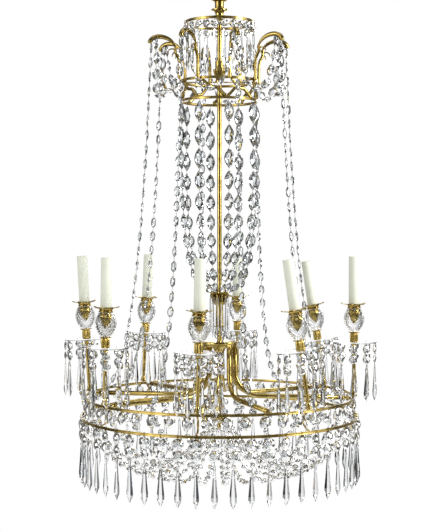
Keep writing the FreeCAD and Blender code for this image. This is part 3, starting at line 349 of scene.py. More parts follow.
# stages of a crystal from one end to the other: (share of its length, share of its half width)
OVAL = ((0.0, 0.30), (0.2, 0.84), (0.5, 1.0), (0.8, 0.84), (1.0, 0.30))
ALMOND = (
    (0.0, 0.10), (0.10, 0.42), (0.30, 0.86), (0.50, 1.0), (0.70, 0.86), (0.90, 0.42), (1.0, 0.10),
)
BUTTON = ((0.0, 0.26), (0.17, 0.68), (0.42, 1.0), (0.58, 1.0), (0.83, 0.68), (1.0, 0.26))
SPEAR = (
    (0.0, 0.22), (0.06, 0.45), (0.14, 0.34), (0.45, 0.66), (0.74, 1.0), (0.83, 0.96), (1.0, 0.04),
)
BLADE = ((0.0, 0.35), (0.06, 0.6), (0.80, 1.0), (1.0, 0.04))
# half widths of the inner strands' almonds, outside and inside a reach from the axis
LARGE_ALMOND = 11.2 * MM
SMALL_ALMOND = 8.2 * MM
INNERMOST_REACH = 40 * MM
# what is longer than this on a string is its prism
PRISM_LENGTH = 60 * MM
HOOK_HEIGHT = 6.8 * MM
FESTOON_BEADS = 2


def loose_gems(name):
    """The crystals of a CAD node: each as (one end, other end, belly corners)."""
    mesh = frame["nodes"][name].data
    keys = {}
    unique = []
    lookup = []
    for vertex in mesh.vertices:
        key = tuple(round(value * 1e6) for value in vertex.co)
        if key not in keys:
            keys[key] = len(unique)
            unique.append(vertex.co.copy())
        lookup.append(keys[key])
    parent = list(range(len(unique)))

    def root(index):
        while parent[index] != index:
            parent[index] = parent[parent[index]]
            index = parent[index]
        return index

    for polygon in mesh.polygons:
        corners = [root(lookup[index]) for index in polygon.vertices]
        for corner in corners[1:]:
            parent[root(corner)] = root(corners[0])
    groups = {}
    for index in range(len(unique)):
        groups.setdefault(root(index), []).append(unique[index])
    gems = []
    for points in groups.values():
        pairs = [
            (one, other) for number, one in enumerate(points) for other in points[number + 1:]
        ]
        top, bottom = max(pairs, key=lambda pair: (pair[0] - pair[1]).length_squared)
        if bottom.z > top.z:
            top, bottom = bottom, top
        belly = [point for point in points if point is not top and point is not bottom]
        gems.append((top, bottom, belly))
    return gems


def gem_axes(top, bottom, belly):
    """Half-width vectors of a gem: across its widest way, and through it."""
    run = (bottom - top).normalized()
    offsets = [(point - top) - run * (point - top).dot(run) for point in belly]
    along = max(offsets, key=lambda offset: round(offset.length, 6))
    through = run.cross(along.normalized())
    deep = max(abs(offset.dot(through)) for offset in offsets)
    return along, through * deep


def twirled(along, outwards, run, most):
    """A hanging crystal turned about its wire by chance, by some degrees at most."""
    spin = Matrix.Rotation(math.radians(chance.uniform(-most, most)), 3, run.normalized())
    return spin @ along, spin @ outwards


def stage_rings(start, run, along, outwards, profile, sides, shift):
    """Rings of a crystal's corners, every second ring turned by a share of a step."""
    rings = []
    for index, (share, scale) in enumerate(profile):
        ring = []
        for corner in range(sides):
            angle = 2 * math.pi * (corner + shift * (index % 2)) / sides
            offset = along * math.cos(angle) + outwards * math.sin(angle)
            ring.append(start + run * share + offset * scale)
        rings.append(ring)
    return rings


def prism(shape, start, run, along, outwards, profile, sides=6):
    """A crystal with straight edges from ring to ring."""
    shape.rings(stage_rings(start, run, along, outwards, profile, sides, 0.0))


def cut_gem(shape, start, run, along, outwards, profile, sides):
    """A crystal with star facets: each ring is turned half a step against the one before."""
    rings = stage_rings(start, run, along, outwards, profile, sides, 0.5)
    points = [point for ring in rings for point in ring]
    faces = []
    for index in range(len(rings) - 1):
        one = index * sides
        other = one + sides
        for corner in range(sides):
            after = (corner + 1) % sides
            before = (corner - 1) % sides
            if index % 2 == 0:
                faces.append([one + corner, one + after, other + corner])
                faces.append([one + corner, other + corner, other + before])
            else:
                faces.append([one + corner, one + after, other + after])
                faces.append([one + corner, other + after, other + corner])
    faces.append(list(range(sides))[::-1])
    faces.append([len(points) - sides + corner for corner in range(sides)])
    shape.add(points, faces)


def button(shape, centre, along, down, outwards):
    """A button crystal: a table, star facets and a girdle on each side, from half widths."""
    cut_gem(shape, centre - outwards, outwards * 2, along, down, BUTTON, 8)


def pin(wires, start, end, radius=0.45 * MM):
    """A wire between two crystals."""
    if (end - start).length > 0.3 * MM:
        tube(wires, [start, end], radius, 5)


def trim(gem, wires, gap):
    """Leaves room for the wires at both ends of a gem; returns the crystal's new ends."""
    top, bottom = gem[:2]
    run = bottom - top
    first = top + run * (gap / run.length)
    last = bottom - run * (gap / run.length)
    pin(wires, top, first + run.normalized() * (0.3 * MM))
    pin(wires, last - run.normalized() * (0.3 * MM), bottom)
    return first, last


def ring_hook(wires, top):
    """A wire loop over a ring's band, from which a string hangs."""
    out = Vector((top.x, top.y, 0)).normalized() * (2.4 * MM)
    up = UP * HOOK_HEIGHT
    start = top - out * 0.2
    loop = [start, top + out, top + out + up, top + up - out, top - out, start]
    tube(wires, loop, 0.55 * MM, 5)


def make_chains():
    """Long outer chains: flat ovals joined by wires."""
    stones, wires = Shape(), Shape()
    for gem in loose_gems("outer_chains"):
        along, outwards = gem_axes(*gem)
        first, last = trim(gem, wires, 4.5 * MM)
        along, outwards = twirled(along, outwards, last - first, 30)
        cut_gem(stones, first, last - first, along * 0.95, outwards, OVAL, 8)
    stones.make("outer_chain_crystals", crystal, "crystal", ("outer_chains",))
    wires.make_wires("outer_chain_wires")


def make_strands():
    """Inner strands: almonds that keep their width all the way down."""
    stones, wires = Shape(), Shape()
    for gem in loose_gems("inner_strands"):
        top, bottom = gem[:2]
        along, outwards = gem_axes(*gem)
        first, last = trim(gem, wires, (bottom - top).length * 0.06)
        reach = Vector((bottom.x, bottom.y)).length
        half = LARGE_ALMOND if reach > INNERMOST_REACH else SMALL_ALMOND
        along, outwards = along.normalized() * half, outwards.normalized() * (half * 0.72)
        along, outwards = twirled(along, outwards, last - first, 25)
        cut_gem(stones, first, last - first, along, outwards, ALMOND, 10)
    stones.make("strand_crystals", crystal, "crystal", ("inner_strands",))
    wires.make_wires("strand_wires")


def make_swags():
    """Swags: almonds at the ends, buttons where they hang lowest."""
    stones, wires = Shape(), Shape()
    for gem in loose_gems("crown_swags"):
        along, outwards = gem_axes(*gem)
        first, last = trim(gem, wires, 3.0 * MM)
        run = last - first
        if along.length > 8 * MM:
            along, outwards = twirled(along, outwards, run, 20)
            button(stones, (first + last) / 2, along * 1.14, run * 0.49, outwards * 0.72)
            pin(wires, first, first + run * 0.08)
            pin(wires, last - run * 0.08, last)
        else:
            along = along.normalized() * max(along.length, 5.5 * MM)
            cut_gem(stones, first, run, along, outwards.normalized() * (4.5 * MM), ALMOND, 8)
    stones.make("swag_crystals", crystal, "crystal", ("crown_swags",))
    wires.make_wires("swag_wires")


def make_strings(node, name, profile, places=((0.5, 0.45),), lift=0.0, broad=1.0, wide=1.0,
                 most=24, hooked=True):
    """Strings of buttons over a long prism. places are (share of the bead's length, half height
    as a share of it); lift is how far the prism starts up into the bead's length; broad and wide
    scale the prisms' and the buttons' breadth; most is how far they turn about their wires;
    hooked is for strings on loops over a ring."""
    stones, drops, wires = Shape(), Shape(), Shape()
    gems = loose_gems(node)
    highest = max(top.z for top, bottom, belly in gems)
    for top, bottom, belly in gems:
        run = bottom - top
        along, outwards = gem_axes(top, bottom, belly)
        if hooked and top.z > highest - 1 * MM:
            ring_hook(wires, top)
        if run.length > PRISM_LENGTH:
            along, outwards = twirled(along, outwards, run, most * 1.4)
            first = top + run * ((4.0 * MM - lift) / run.length)
            last = bottom - run * (0.4 * MM / run.length)
            pin(wires, top, first + run * 0.01)
            prism(drops, first, last - first, along * broad, outwards * broad, profile)
            continue
        ends = [top]
        for share, half in places:
            side, through = twirled(along * wide, outwards * wide, run, most)
            middle = top + run * share
            button(stones, middle, side, run * half, through)
            ends += [middle - run * half, middle + run * half]
        ends.append(bottom)
        for one, other in zip(ends[::2], ends[1::2]):
            pin(wires, one, other)
    if stones.faces:
        stones.make(name + "_crystals", crystal, "crystal", (node,))
    if drops.faces:
        drops.make(name + "_prisms", drop_glass, "crystal", () if stones.faces else (node,))
    wires.make_wires(name + "_wires")


def make_festoons():
    stones, wires = Shape(), Shape()
    for gem in loose_gems("bottom_festoons"):
        top, bottom = gem[:2]
        along, outwards = gem_axes(*gem)
        run = bottom - top
        pin(wires, top, bottom, 0.35 * MM)
        size = min(along.length * 1.5, 7.6 * MM)
        along, outwards = along.normalized() * size, outwards.normalized() * (size * 0.7)
        for number in range(FESTOON_BEADS):
            middle = top + run * ((number + 0.5) / FESTOON_BEADS)
            side, through = twirled(along, outwards, run, 60)
            button(stones, middle, side, run.normalized() * size, through)
    stones.make("festoon_crystals", crystal, "crystal", ("bottom_festoons",))
    wires.make_wires("festoon_wires")


def make_crystals():
    make_chains()
    make_strands()
    make_swags()
    make_strings("top_ring_crystals", "top_string", BLADE, wide=1.08)
    make_strings("pan_crystals", "pan_string", SPEAR, ((0.27, 0.245), (0.80, 0.235)),
                 lift=-6.0 * MM, broad=1.04, wide=0.98, most=7, hooked=False)
    make_strings("mid_ring_beads", "mid_ring", SPEAR, ((0.54, 0.47),), wide=1.1)
    make_strings("lower_ring_crystals", "lower_string", SPEAR, ((0.52, 0.49),), broad=1.25,
                 wide=1.28)
    make_strings("skirt_prisms", "skirt", BLADE, hooked=False)
    make_festoons()


# ---------------------------------------------------------------- candles

# heights of the pieces' feet under the sleeve's foot
BOBECHE = -10.75 * MM
EGG = BOBECHE - 51 * MM
SOCKET = EGG - 24.5 * MM
PAN = SOCKET - 3 * MM

# profiles of (radius, height) in millimetres; the stem's upper end counts from its top
STEM_LOW = ((0.5, 0.0), (3.0, 0.0), (7.5, 2.0), (7.5, 5.0), (4.2, 7.0), (5.2, 10), (3.6, 14))
STEM_WAIST = 4.3
STEM_HIGH = ((3.4, -9), (5.2, -7), (4.0, -5), (7.2, -0.6), (7.2, 0), (0.5, 0))
PAN_GLASS = (
    (1.0, 0.2), (14, 0.2), (30, 1.6), (50, 3.6), (50.6, 4.6), (49.6, 5.4), (30, 3.4), (14, 2.0),
    (1.0, 2.0),
)
SOCKET_TURNING = (
    (1, 0.05), (8.0, 0.05), (9.4, 2.0), (9.4, 18.5), (8.2, 20.6), (9.2, 21.4), (13.9, 23.0),
    (13.9, 24.3), (1, 24.4),
)
NOZZLE = (
    (0.3, 17), (1.6, 17), (6.2, 22), (11.2, 31), (14.4, 41), (13.8, 46), (11.8, 50.3),
    (0.3, 50.3),
)
COLLAR = (
    (1, 0.1), (13.5, 0.1), (15.6, 1.2), (15.6, 2.6), (13.6, 4.4), (14.2, 6.2), (15.8, 8.2),
    (14.4, 9.6), (1, 9.9),
)
HOLDER = (
    (0.5, 0.1), (8.0, 0.1), (8.0, 48), (7.4, 50), (7.4, 61.5), (5.6, 61.5), (5.6, 40), (0.5, 40),
)
EGG_ROWS = 14
EGG_SIDES = 40
BOBECHE_LEAVES = 5
LEAF_STEPS = 8


class Candle:
    """A candle's own frame, from its sleeve and the joint that lets the sleeve slide."""

    def __init__(self, number):
        joint = next(one for one in frame["joints"] if one["child"] == f"sleeve_{number}")
        self.number = number
        self.axis = Vector(joint["axis"]).normalized()
        points = [vertex.co for vertex in frame["nodes"][f"candle_sleeve_{number}"].data.vertices]
        centre = sum(points, Vector()) / len(points)
        reach = [(point - centre).dot(self.axis) for point in points]
        self.height = max(reach) - min(reach)
        self.foot = centre - self.axis * (self.height / 2)
        outwards = Vector((centre.x, centre.y, 0)).normalized()
        side = (outwards - self.axis * outwards.dot(self.axis)).normalized()
        other = self.axis.cross(side)
        self.turn = Matrix((side, other, self.axis)).transposed().to_4x4()

    def at(self, height):
        """Frame at a height over the sleeve's foot."""
        return Matrix.Translation(self.foot + self.axis * height) @ self.turn


def add_stem(stems, candle, ring_top):
    """A turned stem from the mid ring up to the pan."""
    seat = candle.foot + candle.axis * PAN
    length = (seat.z - ring_top) / candle.axis.z - 0.5 * MM
    upper = [(radius, length + height) for radius, height in mm(*STEM_HIGH)]
    profile = mm(*STEM_LOW) + [(STEM_WAIST * MM, length * 0.5)] + upper
    turn(stems, candle.at(PAN - length), profile, 20)


def skin(shape, outer, inner):
    """A cup with raised diamonds outside: each square is split between its two low corners."""
    sides = len(outer[0])
    rings = outer + inner
    faces = [list(range(sides))[::-1]]
    for row in range(len(rings) - 1):
        one, other = row * sides, (row + 1) * sides
        for corner in range(sides):
            after = (corner + 1) % sides
            if row >= len(outer) - 1:
                faces.append([one + corner, one + after, other + after, other + corner])
            elif (row + corner) % 2 == 0:
                faces.append([one + corner, one + after, other + corner])
                faces.append([other + after, other + corner, one + after])
            else:
                faces.append([one + corner, one + after, other + after])
                faces.append([one + corner, other + after, other + corner])
    faces.append([(len(rings) - 1) * sides + corner for corner in range(sides)])
    shape.add([point for ring in rings for point in ring], faces)


def add_egg(eggs, candle):
    """An outside of raised diamonds over a smooth hollow."""
    outer, inner = [], []
    for row in range(EGG_ROWS + 1):
        share = row / EGG_ROWS
        swell = math.sin(math.pi * min(share / 1.12, 1.0)) ** 0.8
        for rings, base, relief in ((outer, 9.2, 0.7), (inner, 7.0, 0.0)):
            ring = []
            for corner in range(EGG_SIDES):
                angle = 2 * math.pi * corner / EGG_SIDES
                radius = base + 13.2 * swell + relief * (-1) ** (row + corner)
                ring.append(candle.at(EGG) @ (Vector((
                    radius * math.cos(angle), radius * math.sin(angle), 0.3 + share * 50.4
                )) * MM))
            rings.append(ring)
    skin(eggs, outer, inner[:0:-1])


def add_bobeche_leaf(bobeches, candle, heading):
    """One wavy pointed leaf: a sheet three points wide, above and below."""
    lift = chance.uniform(-0.6, 0.9) * MM
    upper, under = [], []
    for step in range(LEAF_STEPS + 1):
        share = step / LEAF_STEPS
        radius = (12 + 17.0 * share) * MM
        half = 8.6 * MM * math.sin(math.pi * min(0.35 + share * 0.65, 1.0)) ** 0.9 + 0.3 * MM
        wave = -math.sin(share * math.pi) * 0.9 * MM
        height = 9.9 * MM + wave + lift * share + 2.2 * MM * share ** 2
        for side in (-1, 0, 1):
            across = half * side
            dip = 0.9 * MM * abs(side) * share
            place = Vector((
                radius * math.cos(heading) - across * math.sin(heading),
                radius * math.sin(heading) + across * math.cos(heading),
                max(min(height + dip, 13.0 * MM), 8.9 * MM),
            ))
            upper.append(candle.at(BOBECHE) @ place)
            under.append(candle.at(BOBECHE) @ (place - UP * (1.3 * MM)))
    count = len(upper)
    faces = []
    for step in range(LEAF_STEPS):
        for half in range(2):
            one = step * 3 + half
            faces.append([one, one + 1, one + 4, one + 3])
            faces.append([count + one + 3, count + one + 4, count + one + 1, count + one])
    edge = list(range(0, count, 3)) + [count - 2, count - 1] + list(range(count - 4, 0, -3)) + [1]
    for one, other in zip(edge, edge[1:] + edge[:1]):
        faces.append([other, one, count + one, count + other])
    bobeches.add(upper + under, faces, True)


def add_bobeche(bobeches, candle):
    """A turned collar and a ring of leaves."""
    turn(bobeches, candle.at(BOBECHE), mm(*COLLAR))
    for number in range(BOBECHE_LEAVES):
        heading = 2 * math.pi * (number + 0.15 * candle.number) / BOBECHE_LEAVES
        add_bobeche_leaf(bobeches, candle, heading)


def make_sleeve(candle):
    sleeve = Shape()
    low, high = 0.1 * MM, candle.height - 0.3 * MM
    turn(sleeve, candle.at(0.0), [
        (9.8 * MM, low), (11.95 * MM, low), (11.95 * MM, high), (9.8 * MM, high),
    ], 40, looped=True, fillet=0.4 * MM)
    sleeve.make(f"sleeve_{candle.number}_tube", ivory, "sleeve_ivory",
                (f"candle_sleeve_{candle.number}",), f"sleeve_{candle.number}")


def make_candles():
    stems, sockets, nozzles, bobeches, holders = Shape(), Shape(), Shape(), Shape(), Shape()
    pans, eggs = Shape(), Shape()
    ring_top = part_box("mid_ring")[1].z
    rim, ribs, petals = lobes(0.02, 20, 3), lobes(0.17, 12, high=21), lobes(0.12, 8, 21.5)
    for number in ARM_NUMBERS:
        candle = Candle(number)
        add_stem(stems, candle, ring_top)
        turn(pans, candle.at(PAN), mm(*PAN_GLASS), 80, rim)
        turn(sockets, candle.at(SOCKET), mm(*SOCKET_TURNING), 72,
             lambda angle, height: ribs(angle, height) * petals(angle, height))
        add_egg(eggs, candle)
        turn(nozzles, candle.at(EGG), mm(*NOZZLE), 24)
        add_bobeche(bobeches, candle)
        turn(holders, candle.at(0.0), mm(*HOLDER), 24)
        make_sleeve(candle)
    stems.cast("candle_stem_turnings", "candle_stems")
    pans.make("pan_glass", cut_glass, "crystal", ("drip_pans",))
    sockets.cast("ribbed_sockets", "candle_sockets")
    eggs.make("egg_glass", cut_glass, "crystal", ("glass_eggs",))
    nozzles.cast("nozzle_cones", "candle_nozzles")
    bobeches.cast("bobeche_leaves", "bobeches")
    holders.make("holder_tubes", holder_black, "holder_black", ("lamp_holders",))


# ---------------------------------------------------------------- brass frame

# profiles of (radius, height over the foot) in millimetres
EYE_SHANK = ((0.5, 0.02), (5.6, 0.02), (4.4, 3), (5.4, 5), (3.6, 9), (0.5, 9))
FITTING = (
    (0.5, 0.0), (12.2, 0.0), (12.2, 2.6), (9.0, 4.4), (9.8, 9), (12.2, 14.0), (18.6, 15.3),
    (18.6, 18.3), (11.0, 19.0), (10.4, 27), (11, 35.2), (17.4, 37.6), (17.6, 44), (15.8, 50),
    (11.5, 60), (7.8, 69.9), (0.5, 69.9),
)
TOP_RING_HUB = (
    (5.4, 0.0), (9.6, 0.0), (9.6, 3), (7.4, 5), (9.2, 9), (7.4, 12), (8.4, 14.9), (5.4, 14.9),
)
CROWN_RING_HUB = ((5.4, 0.0), (9.6, 0.0), (9.6, 5.9), (5.4, 5.9))
CROWN_CUP = (
    (5.4, 0.05), (8.0, 0.05), (10.5, 7), (15.4, 21), (15.4, 24.4), (10.6, 25.5), (9.6, 34),
    (10.8, 42.6), (5.4, 42.8),
)
COLLAR_CROWN = (
    (5.4, 0.1), (11.6, 0.1), (11.6, 3), (9.0, 5), (10.0, 12), (12.0, 19.0), (17, 23.0),
    (23.2, 27.2), (22.6, 28.9), (16, 25.6), (5.4, 24.0),
)
COLLAR_PETAL = ((10.2, 3), (12.6, 8), (14.4, 14), (17.0, 19.5), (20.4, 23.5))
COLLAR_PETALS = 10
FLUTED_STEM = (
    (5.4, 0.05), (11.6, 0.05), (11.6, 2.3), (8.2, 2.9), (8.2, 47.2), (8.2, 49.9), (5.4, 49.9),
)
# the glass knob: its outside from the foot up, then its bore back down
KNOB = (
    (8.2, 0.2), (10.4, 5.0), (11.8, 11.0), (11.8, 20.5), (10.4, 26.5), (8.2, 31.3),
    (5.5, 31.3), (5.5, 0.2),
)
KNOB_SIDES = 12
ARM_DISC = (
    (0.5, 0.0), (9.6, 0.0), (11.5, 2.0), (14, 8), (23, 13.8), (40.5, 14.2), (41.4, 16.0),
    (39.8, 18.2), (41.4, 20.5), (41.2, 24.2), (36, 24.9), (0.5, 24.9),
)
BOTTOM_DISC = (
    (0.4, 0.1), (2.2, 0.6), (5.2, 8.0), (4.2, 13), (2.7, 20.0), (6.5, 21.5), (9.6, 23.5),
    (9.6, 28.6), (15.4, 29.3), (15.6, 34.4), (0.5, 34.9),
)
# rings: node, new name, the band's radius, thickness and sides; with spokes, also the band's
# height, the spokes' reach and the hub
RINGS = (
    ("top_ring", "top_ring_band", 76.4, 2.6, 72, (6, 75.4, TOP_RING_HUB)),
    ("crown_upper_ring", "crown_upper_band", 85.3, 2.6, 80, (6, 84.4, CROWN_RING_HUB)),
    ("crown_lower_ring", "crown_lower_band", 85.3, 2.6, 80, None),
    ("mid_ring", "mid_ring_band", 301.1, 2.9, 192, None),
    ("lower_ring", "lower_ring_band", 309.6, 2.9, 192, None),
)
SPOKES = 4
# the crown arm's members in its own plane: (reach from the axis, height over its foot)
CROWN_STEM = (
    (91.6, 0.3), (91.8, 14), (91.6, 34), (93.4, 50), (98.5, 60), (101.0, 68), (100.4, 77),
)
OUTER_LEAF = (
    (98.0, 71), (100.5, 78), (106.5, 86.3), (114.5, 92.9), (126.5, 97.4), (139.5, 98.4),
    (150.0, 95.4), (156.5, 89.6), (159.0, 83.0),
)
UPPER_CURL = ((101.2, 69.5), (106.0, 72.2), (111.5, 72.0), (116.6, 68.7), (118.4, 63.5))
LOWER_CURL = ((100.6, 65.5), (104.0, 64.5), (107.0, 61.0), (108.4, 55.6))
CROWN_AZIMUTH = 14
BRACKET_REACH = 85.5
BRACKET_STEPS = 24
# the struts between the large rings: (reach from the axis, share of the height)
STRUT_AZIMUTH = -8.5
STRUT_SCROLL = (
    (301.5, 0.99), (297.0, 0.90), (292.0, 0.76), (289.6, 0.58), (290.4, 0.40), (294.5, 0.22),
    (301.5, 0.08), (308.5, 0.02),
)
STRUT_FROND = ((291.5, 0.70), (297.0, 0.60), (300.5, 0.50), (300.0, 0.40))


def make_top():
    eye = Shape()
    loop = []
    for step in range(37):
        angle = 2 * math.pi * step / 36
        loop.append(Vector((13.0 * MM * math.sin(angle), 0, 13.0 * MM * math.cos(angle))))
    tube(eye, loop, 3.7 * MM, 12)
    turn(eye, upright(-24 * MM), mm(*EYE_SHANK), 24)
    eye.cast("eye_loop", "suspension_eye")
    turned("top_fitting", FITTING, 48).cast("fitting_turning", "top_fitting")


def add_band(shape, radius, thickness, low, high, around):
    """A flat band with a bead along each edge."""
    half = thickness / 2
    turn(shape, upright(0.0), [
        (radius - half, low), (radius + half, low), (radius + half, low + 1.3 * MM),
        (radius + half * 0.5, low + 1.8 * MM), (radius + half * 0.5, high - 1.8 * MM),
        (radius + half, high - 1.3 * MM), (radius + half, high), (radius - half, high),
        (radius - half, (low + high) / 2),
    ], around, looped=True, fillet=0.25 * MM)


def add_spokes(shape, radius, low):
    level = UP * (low + 1.5 * MM)
    for number in range(SPOKES):
        angle = 2 * math.pi * number / SPOKES
        outwards = Vector((math.cos(angle), math.sin(angle), 0))
        side = Vector((-outwards.y, outwards.x, 0))
        tube(shape, [outwards * (9 * MM) + level, outwards * radius + level], 1.4 * MM, 8,
             (side, 1.3))


def make_rings():
    for node, name, radius, thickness, around, wheel in RINGS:
        low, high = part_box(node)
        ring = Shape()
        top = low.z + wheel[0] * MM if wheel else high.z
        add_band(ring, radius * MM, thickness * MM, low.z, top, around)
        if wheel:
            add_spokes(ring, wheel[1] * MM, low.z)
            turn(ring, upright(low.z), mm(*wheel[2]), looped=True)
        ring.cast(name, node)


def make_knob():
    low = foot("glass_knob")
    rings = []
    for radius, height in KNOB:
        ring = []
        for corner in range(KNOB_SIDES):
            angle = 2 * math.pi * (corner + 0.5) / KNOB_SIDES
            ring.append(Vector((
                radius * MM * math.cos(angle), radius * MM * math.sin(angle), low + height * MM
            )))
        rings.append(ring)
    knob = Shape()
    knob.rings(rings, looped=True)
    knob.make("knob_glass", cut_glass, "crystal", ("glass_knob",))


def make_column():
    hub = turned("crown_hub", CROWN_CUP, 64, lobes(0.10, 8, high=26), True)
    hub.cast("crown_cup", "crown_hub")
    collar = turned("lower_collar", COLLAR_CROWN, 72, lobes(0.16, 12, 17), True)
    for number in range(COLLAR_PETALS):
        outwards, along = compass(18 + 36 * number)
        leaf(collar, planted(COLLAR_PETAL, outwards, foot("lower_collar")), 3.4 * MM, along,
             lambda share: 0.5 + 0.5 * math.sin(math.pi * share))
    collar.cast("collar_crown", "lower_collar")
    stem = turned("fluted_stem", FLUTED_STEM, 80, lobes(0.15, 10, 3, 47), True, 0.2 * MM)
    stem.cast("stem_fluting", "fluted_stem")
    make_knob()
    turned("arm_disc", ARM_DISC, 64).cast("arm_disc_turning", "arm_disc")
    turned("bottom_disc", BOTTOM_DISC, 40).cast("bottom_turning", "bottom_disc")


def make_crown():
    low = foot("crown_arm_1")
    for number in ARM_NUMBERS:
        node = f"crown_arm_{number}"
        arm_low, arm_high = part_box(node)
        outwards = ((arm_low + arm_high) / 2 * LEVEL).normalized()
        along = UP.cross(outwards)
        arm = Shape()
        leaf(arm, planted(CROWN_STEM, outwards, low), 3.7 * MM, along,
             lambda share: 1.25 - 0.35 * min(share * 4, 1))
        leaf(arm, planted(OUTER_LEAF, outwards, low), 5.5 * MM, along,
             lambda share: 0.42 + 0.58 * math.sin(math.pi * min(max(share - 0.15, 0) / 1.15, 1)))
        for curl in (UPPER_CURL, LOWER_CURL):
            leaf(arm, planted(curl, outwards, low), 1.7 * MM, along,
                 lambda share: 1.1 - 0.45 * share)
        arm.cast(f"crown_scroll_{number}", node)


def make_brackets():
    """S-scrolls between the two crown rings."""
    low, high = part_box("crown_brackets")
    middle = (low.z + high.z) / 2
    tall = (high.z - low.z) / 2
    setback = BRACKET_REACH * math.cos(math.radians(20)) * MM
    half = BRACKET_REACH * math.sin(math.radians(20)) * MM
    brackets = Shape()
    for number in range(ARMS):
        outwards, along = compass(CROWN_AZIMUTH + ARM_STEP * (number + 0.5))
        path = []
        for step in range(BRACKET_STEPS + 1):
            share = step / BRACKET_STEPS * 2 - 1
            height = -tall * 0.93 * math.sin(share * math.pi / 2) ** 3
            across = along * (half * share * 0.93)
            path.append(outwards * setback + across + UP * (middle + height))
        leaf(brackets, path, 3.8 * MM, outwards, lambda share: 0.84 + 0.26 * share)
    brackets.cast("bracket_scrolls", "crown_brackets")


def make_arm(number):
    """A candle arm: down from the disc, round a bend and out to the mid ring."""
    node = f"candle_arm_{number}"
    points = [vertex.co for vertex in frame["nodes"][node].data.vertices]
    top = max(point.z for point in points)
    level = min(point.z for point in points) + 5.0 * MM
    root = [point for point in points if point.z > top - 1 * MM]
    root = sum(root, Vector()) / len(root)
    root.z = 0
    end = max(points, key=lambda point: (point - root).length * (point.z < level + 20 * MM))
    heading = ((end - root) * LEVEL).normalized()
    reach = (end - root).dot(heading) - 0.6 * MM

    def along(across, height):
        return root + heading * across + UP * height

    path = [root + UP * (top - 0.1 * MM), root + UP * (level + 58 * MM)]
    path += [along(*pair) for pair in arc((56 * MM, level + 56 * MM), 56 * MM, 180, 270, 14)]
    path.append(along(reach - 22 * MM, level))
    arm = Shape()
    tube(arm, path, 5.5 * MM, 18)
    neck = [along(reach - 23 * MM, level), along(reach - 14 * MM, level - 1 * MM),
            along(reach, level - 2 * MM)]
    tube(arm, neck, 3.6 * MM, 12, taper=lambda share: 1.35 - 0.6 * share)
    turn(arm, Matrix.Translation(root + UP * (top - 4 * MM)),
         mm((4.5, 0.0), (6.2, 0.4), (6.2, 3.4), (4.5, 3.9)), 20)
    arm.cast(f"arm_tube_{number}", node)


def make_struts():
    """C-scrolls between the two large rings."""
    low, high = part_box("ring_struts")
    tall = high.z - low.z
    struts = Shape()
    for number in range(ARMS):
        outwards, along = compass(STRUT_AZIMUTH + ARM_STEP * number)
        scroll, frond = (
            [outwards * (reach * MM) + UP * (low.z + tall * share) for reach, share in points]
            for points in (STRUT_SCROLL, STRUT_FROND)
        )
        tube(struts, scroll, 1.5 * MM, 8, (along, 1.4))
        tube(struts, frond, 1.2 * MM, 8, (along, 1.6), lambda share: 1.2 - 0.7 * share)
    struts.cast("strut_scrolls", "ring_struts")


make_crystals()
make_candles()
make_top()
make_rings()
make_column()
make_crown()
make_brackets()
for arm_number in ARM_NUMBERS:
    make_arm(arm_number)
make_struts()
for plain in ("central_rod", "tail_rod"):
    rod = frame["nodes"][plain]
    rod.data.materials.clear()
    rod.data.materials.append(brass)


# ---------------------------------------------------------------- studio

BLACK, DARK, GREY, FULL = (0.0,) * 3, (0.015,) * 3, (0.30,) * 3, (1.0,) * 3
WHITE = (1.0, 1.0, 1.0, 1.0)
# the dark room that glass sees: noise scale and its stops, for light and for tint
WALL_PATCHES = (4.2, ((0.49, DARK), (0.53, GREY), (0.59, FULL)))
TINT_PATCHES = (5.0, ((0.36, (1.0, 0.80, 0.45)), (0.50, FULL), (0.64, (0.70, 0.82, 1.0))))
WALL_SLOPE = ((0.0, (0.35,) * 3), (0.55, (0.55,) * 3), (0.75, FULL))
# its white walls: direction, where each starts and where it is whole, and how white it is
WHITE_WALLS = (
    ((0, 1, 0), 0.88, 0.97, 1.0), ((0, -1, 0), 0.90, 0.95, 1.0),
    ((1, 0, 0), 0.92, 0.97, 0.9), ((-1, 0, 0), 0.92, 0.97, 0.9),
)
# the soft boxes that metal sees
SOFT_BOXES = (
    ((-0.85, -0.50, 0.10), ((0.84, DARK), (0.93, (1.0, 0.98, 0.93)))),
    ((0.95, -0.20, 0.1), ((0.86, DARK), (0.94, (0.9, 0.88, 0.82)))),
    ((0, -0.1, 1), ((0.80, DARK), (0.92, (0.6, 0.6, 0.6)))),
    ((0, 1, 0), ((0.40, DARK), (0.88, (0.20, 0.19, 0.17)), (0.96, (0.9,) * 3))),
)
# name, place, size, power and aim
LAMPS = (
    ("key", (2.3, -0.9, 0.2), (0.8, 1.4), 44, (0, 0, -0.55)),
    ("fill", (-2.1, -1.6, -0.1), (0.6, 1.6), 10, (0, 0, -0.6)),
    ("rim", (0.9, 1.9, 0.2), (0.5, 1.2), 12, (0, 0, -0.6)),
)
FLOOR_HEIGHT = -1.75
FLOOR_DISC = ((10, -20), (1250, -20), (1250, 0), (10, 0))
CAMERA_PLACE = (0, -2.7, -0.5805)
CAMERA_PITCH = 1.48


def towards(tree, direction, aim, stops):
    """Brightness by how near a direction of the world is to an aim: 1 at it, 0 square to it."""
    dot = tree.nodes.new("ShaderNodeVectorMath")
    dot.operation = "DOT_PRODUCT"
    tree.links.new(direction, dot.inputs[0])
    dot.inputs[1].default_value = Vector(aim).normalized()
    return ramp(tree, dot.outputs["Value"], stops)


def patches(tree, direction, scale, stops):
    texture = tree.nodes.new("ShaderNodeTexNoise")
    texture.inputs["Scale"].default_value = scale
    texture.inputs["Detail"].default_value = 2.0
    tree.links.new(direction, texture.inputs["Vector"])
    return ramp(tree, texture.outputs["Fac"], stops)


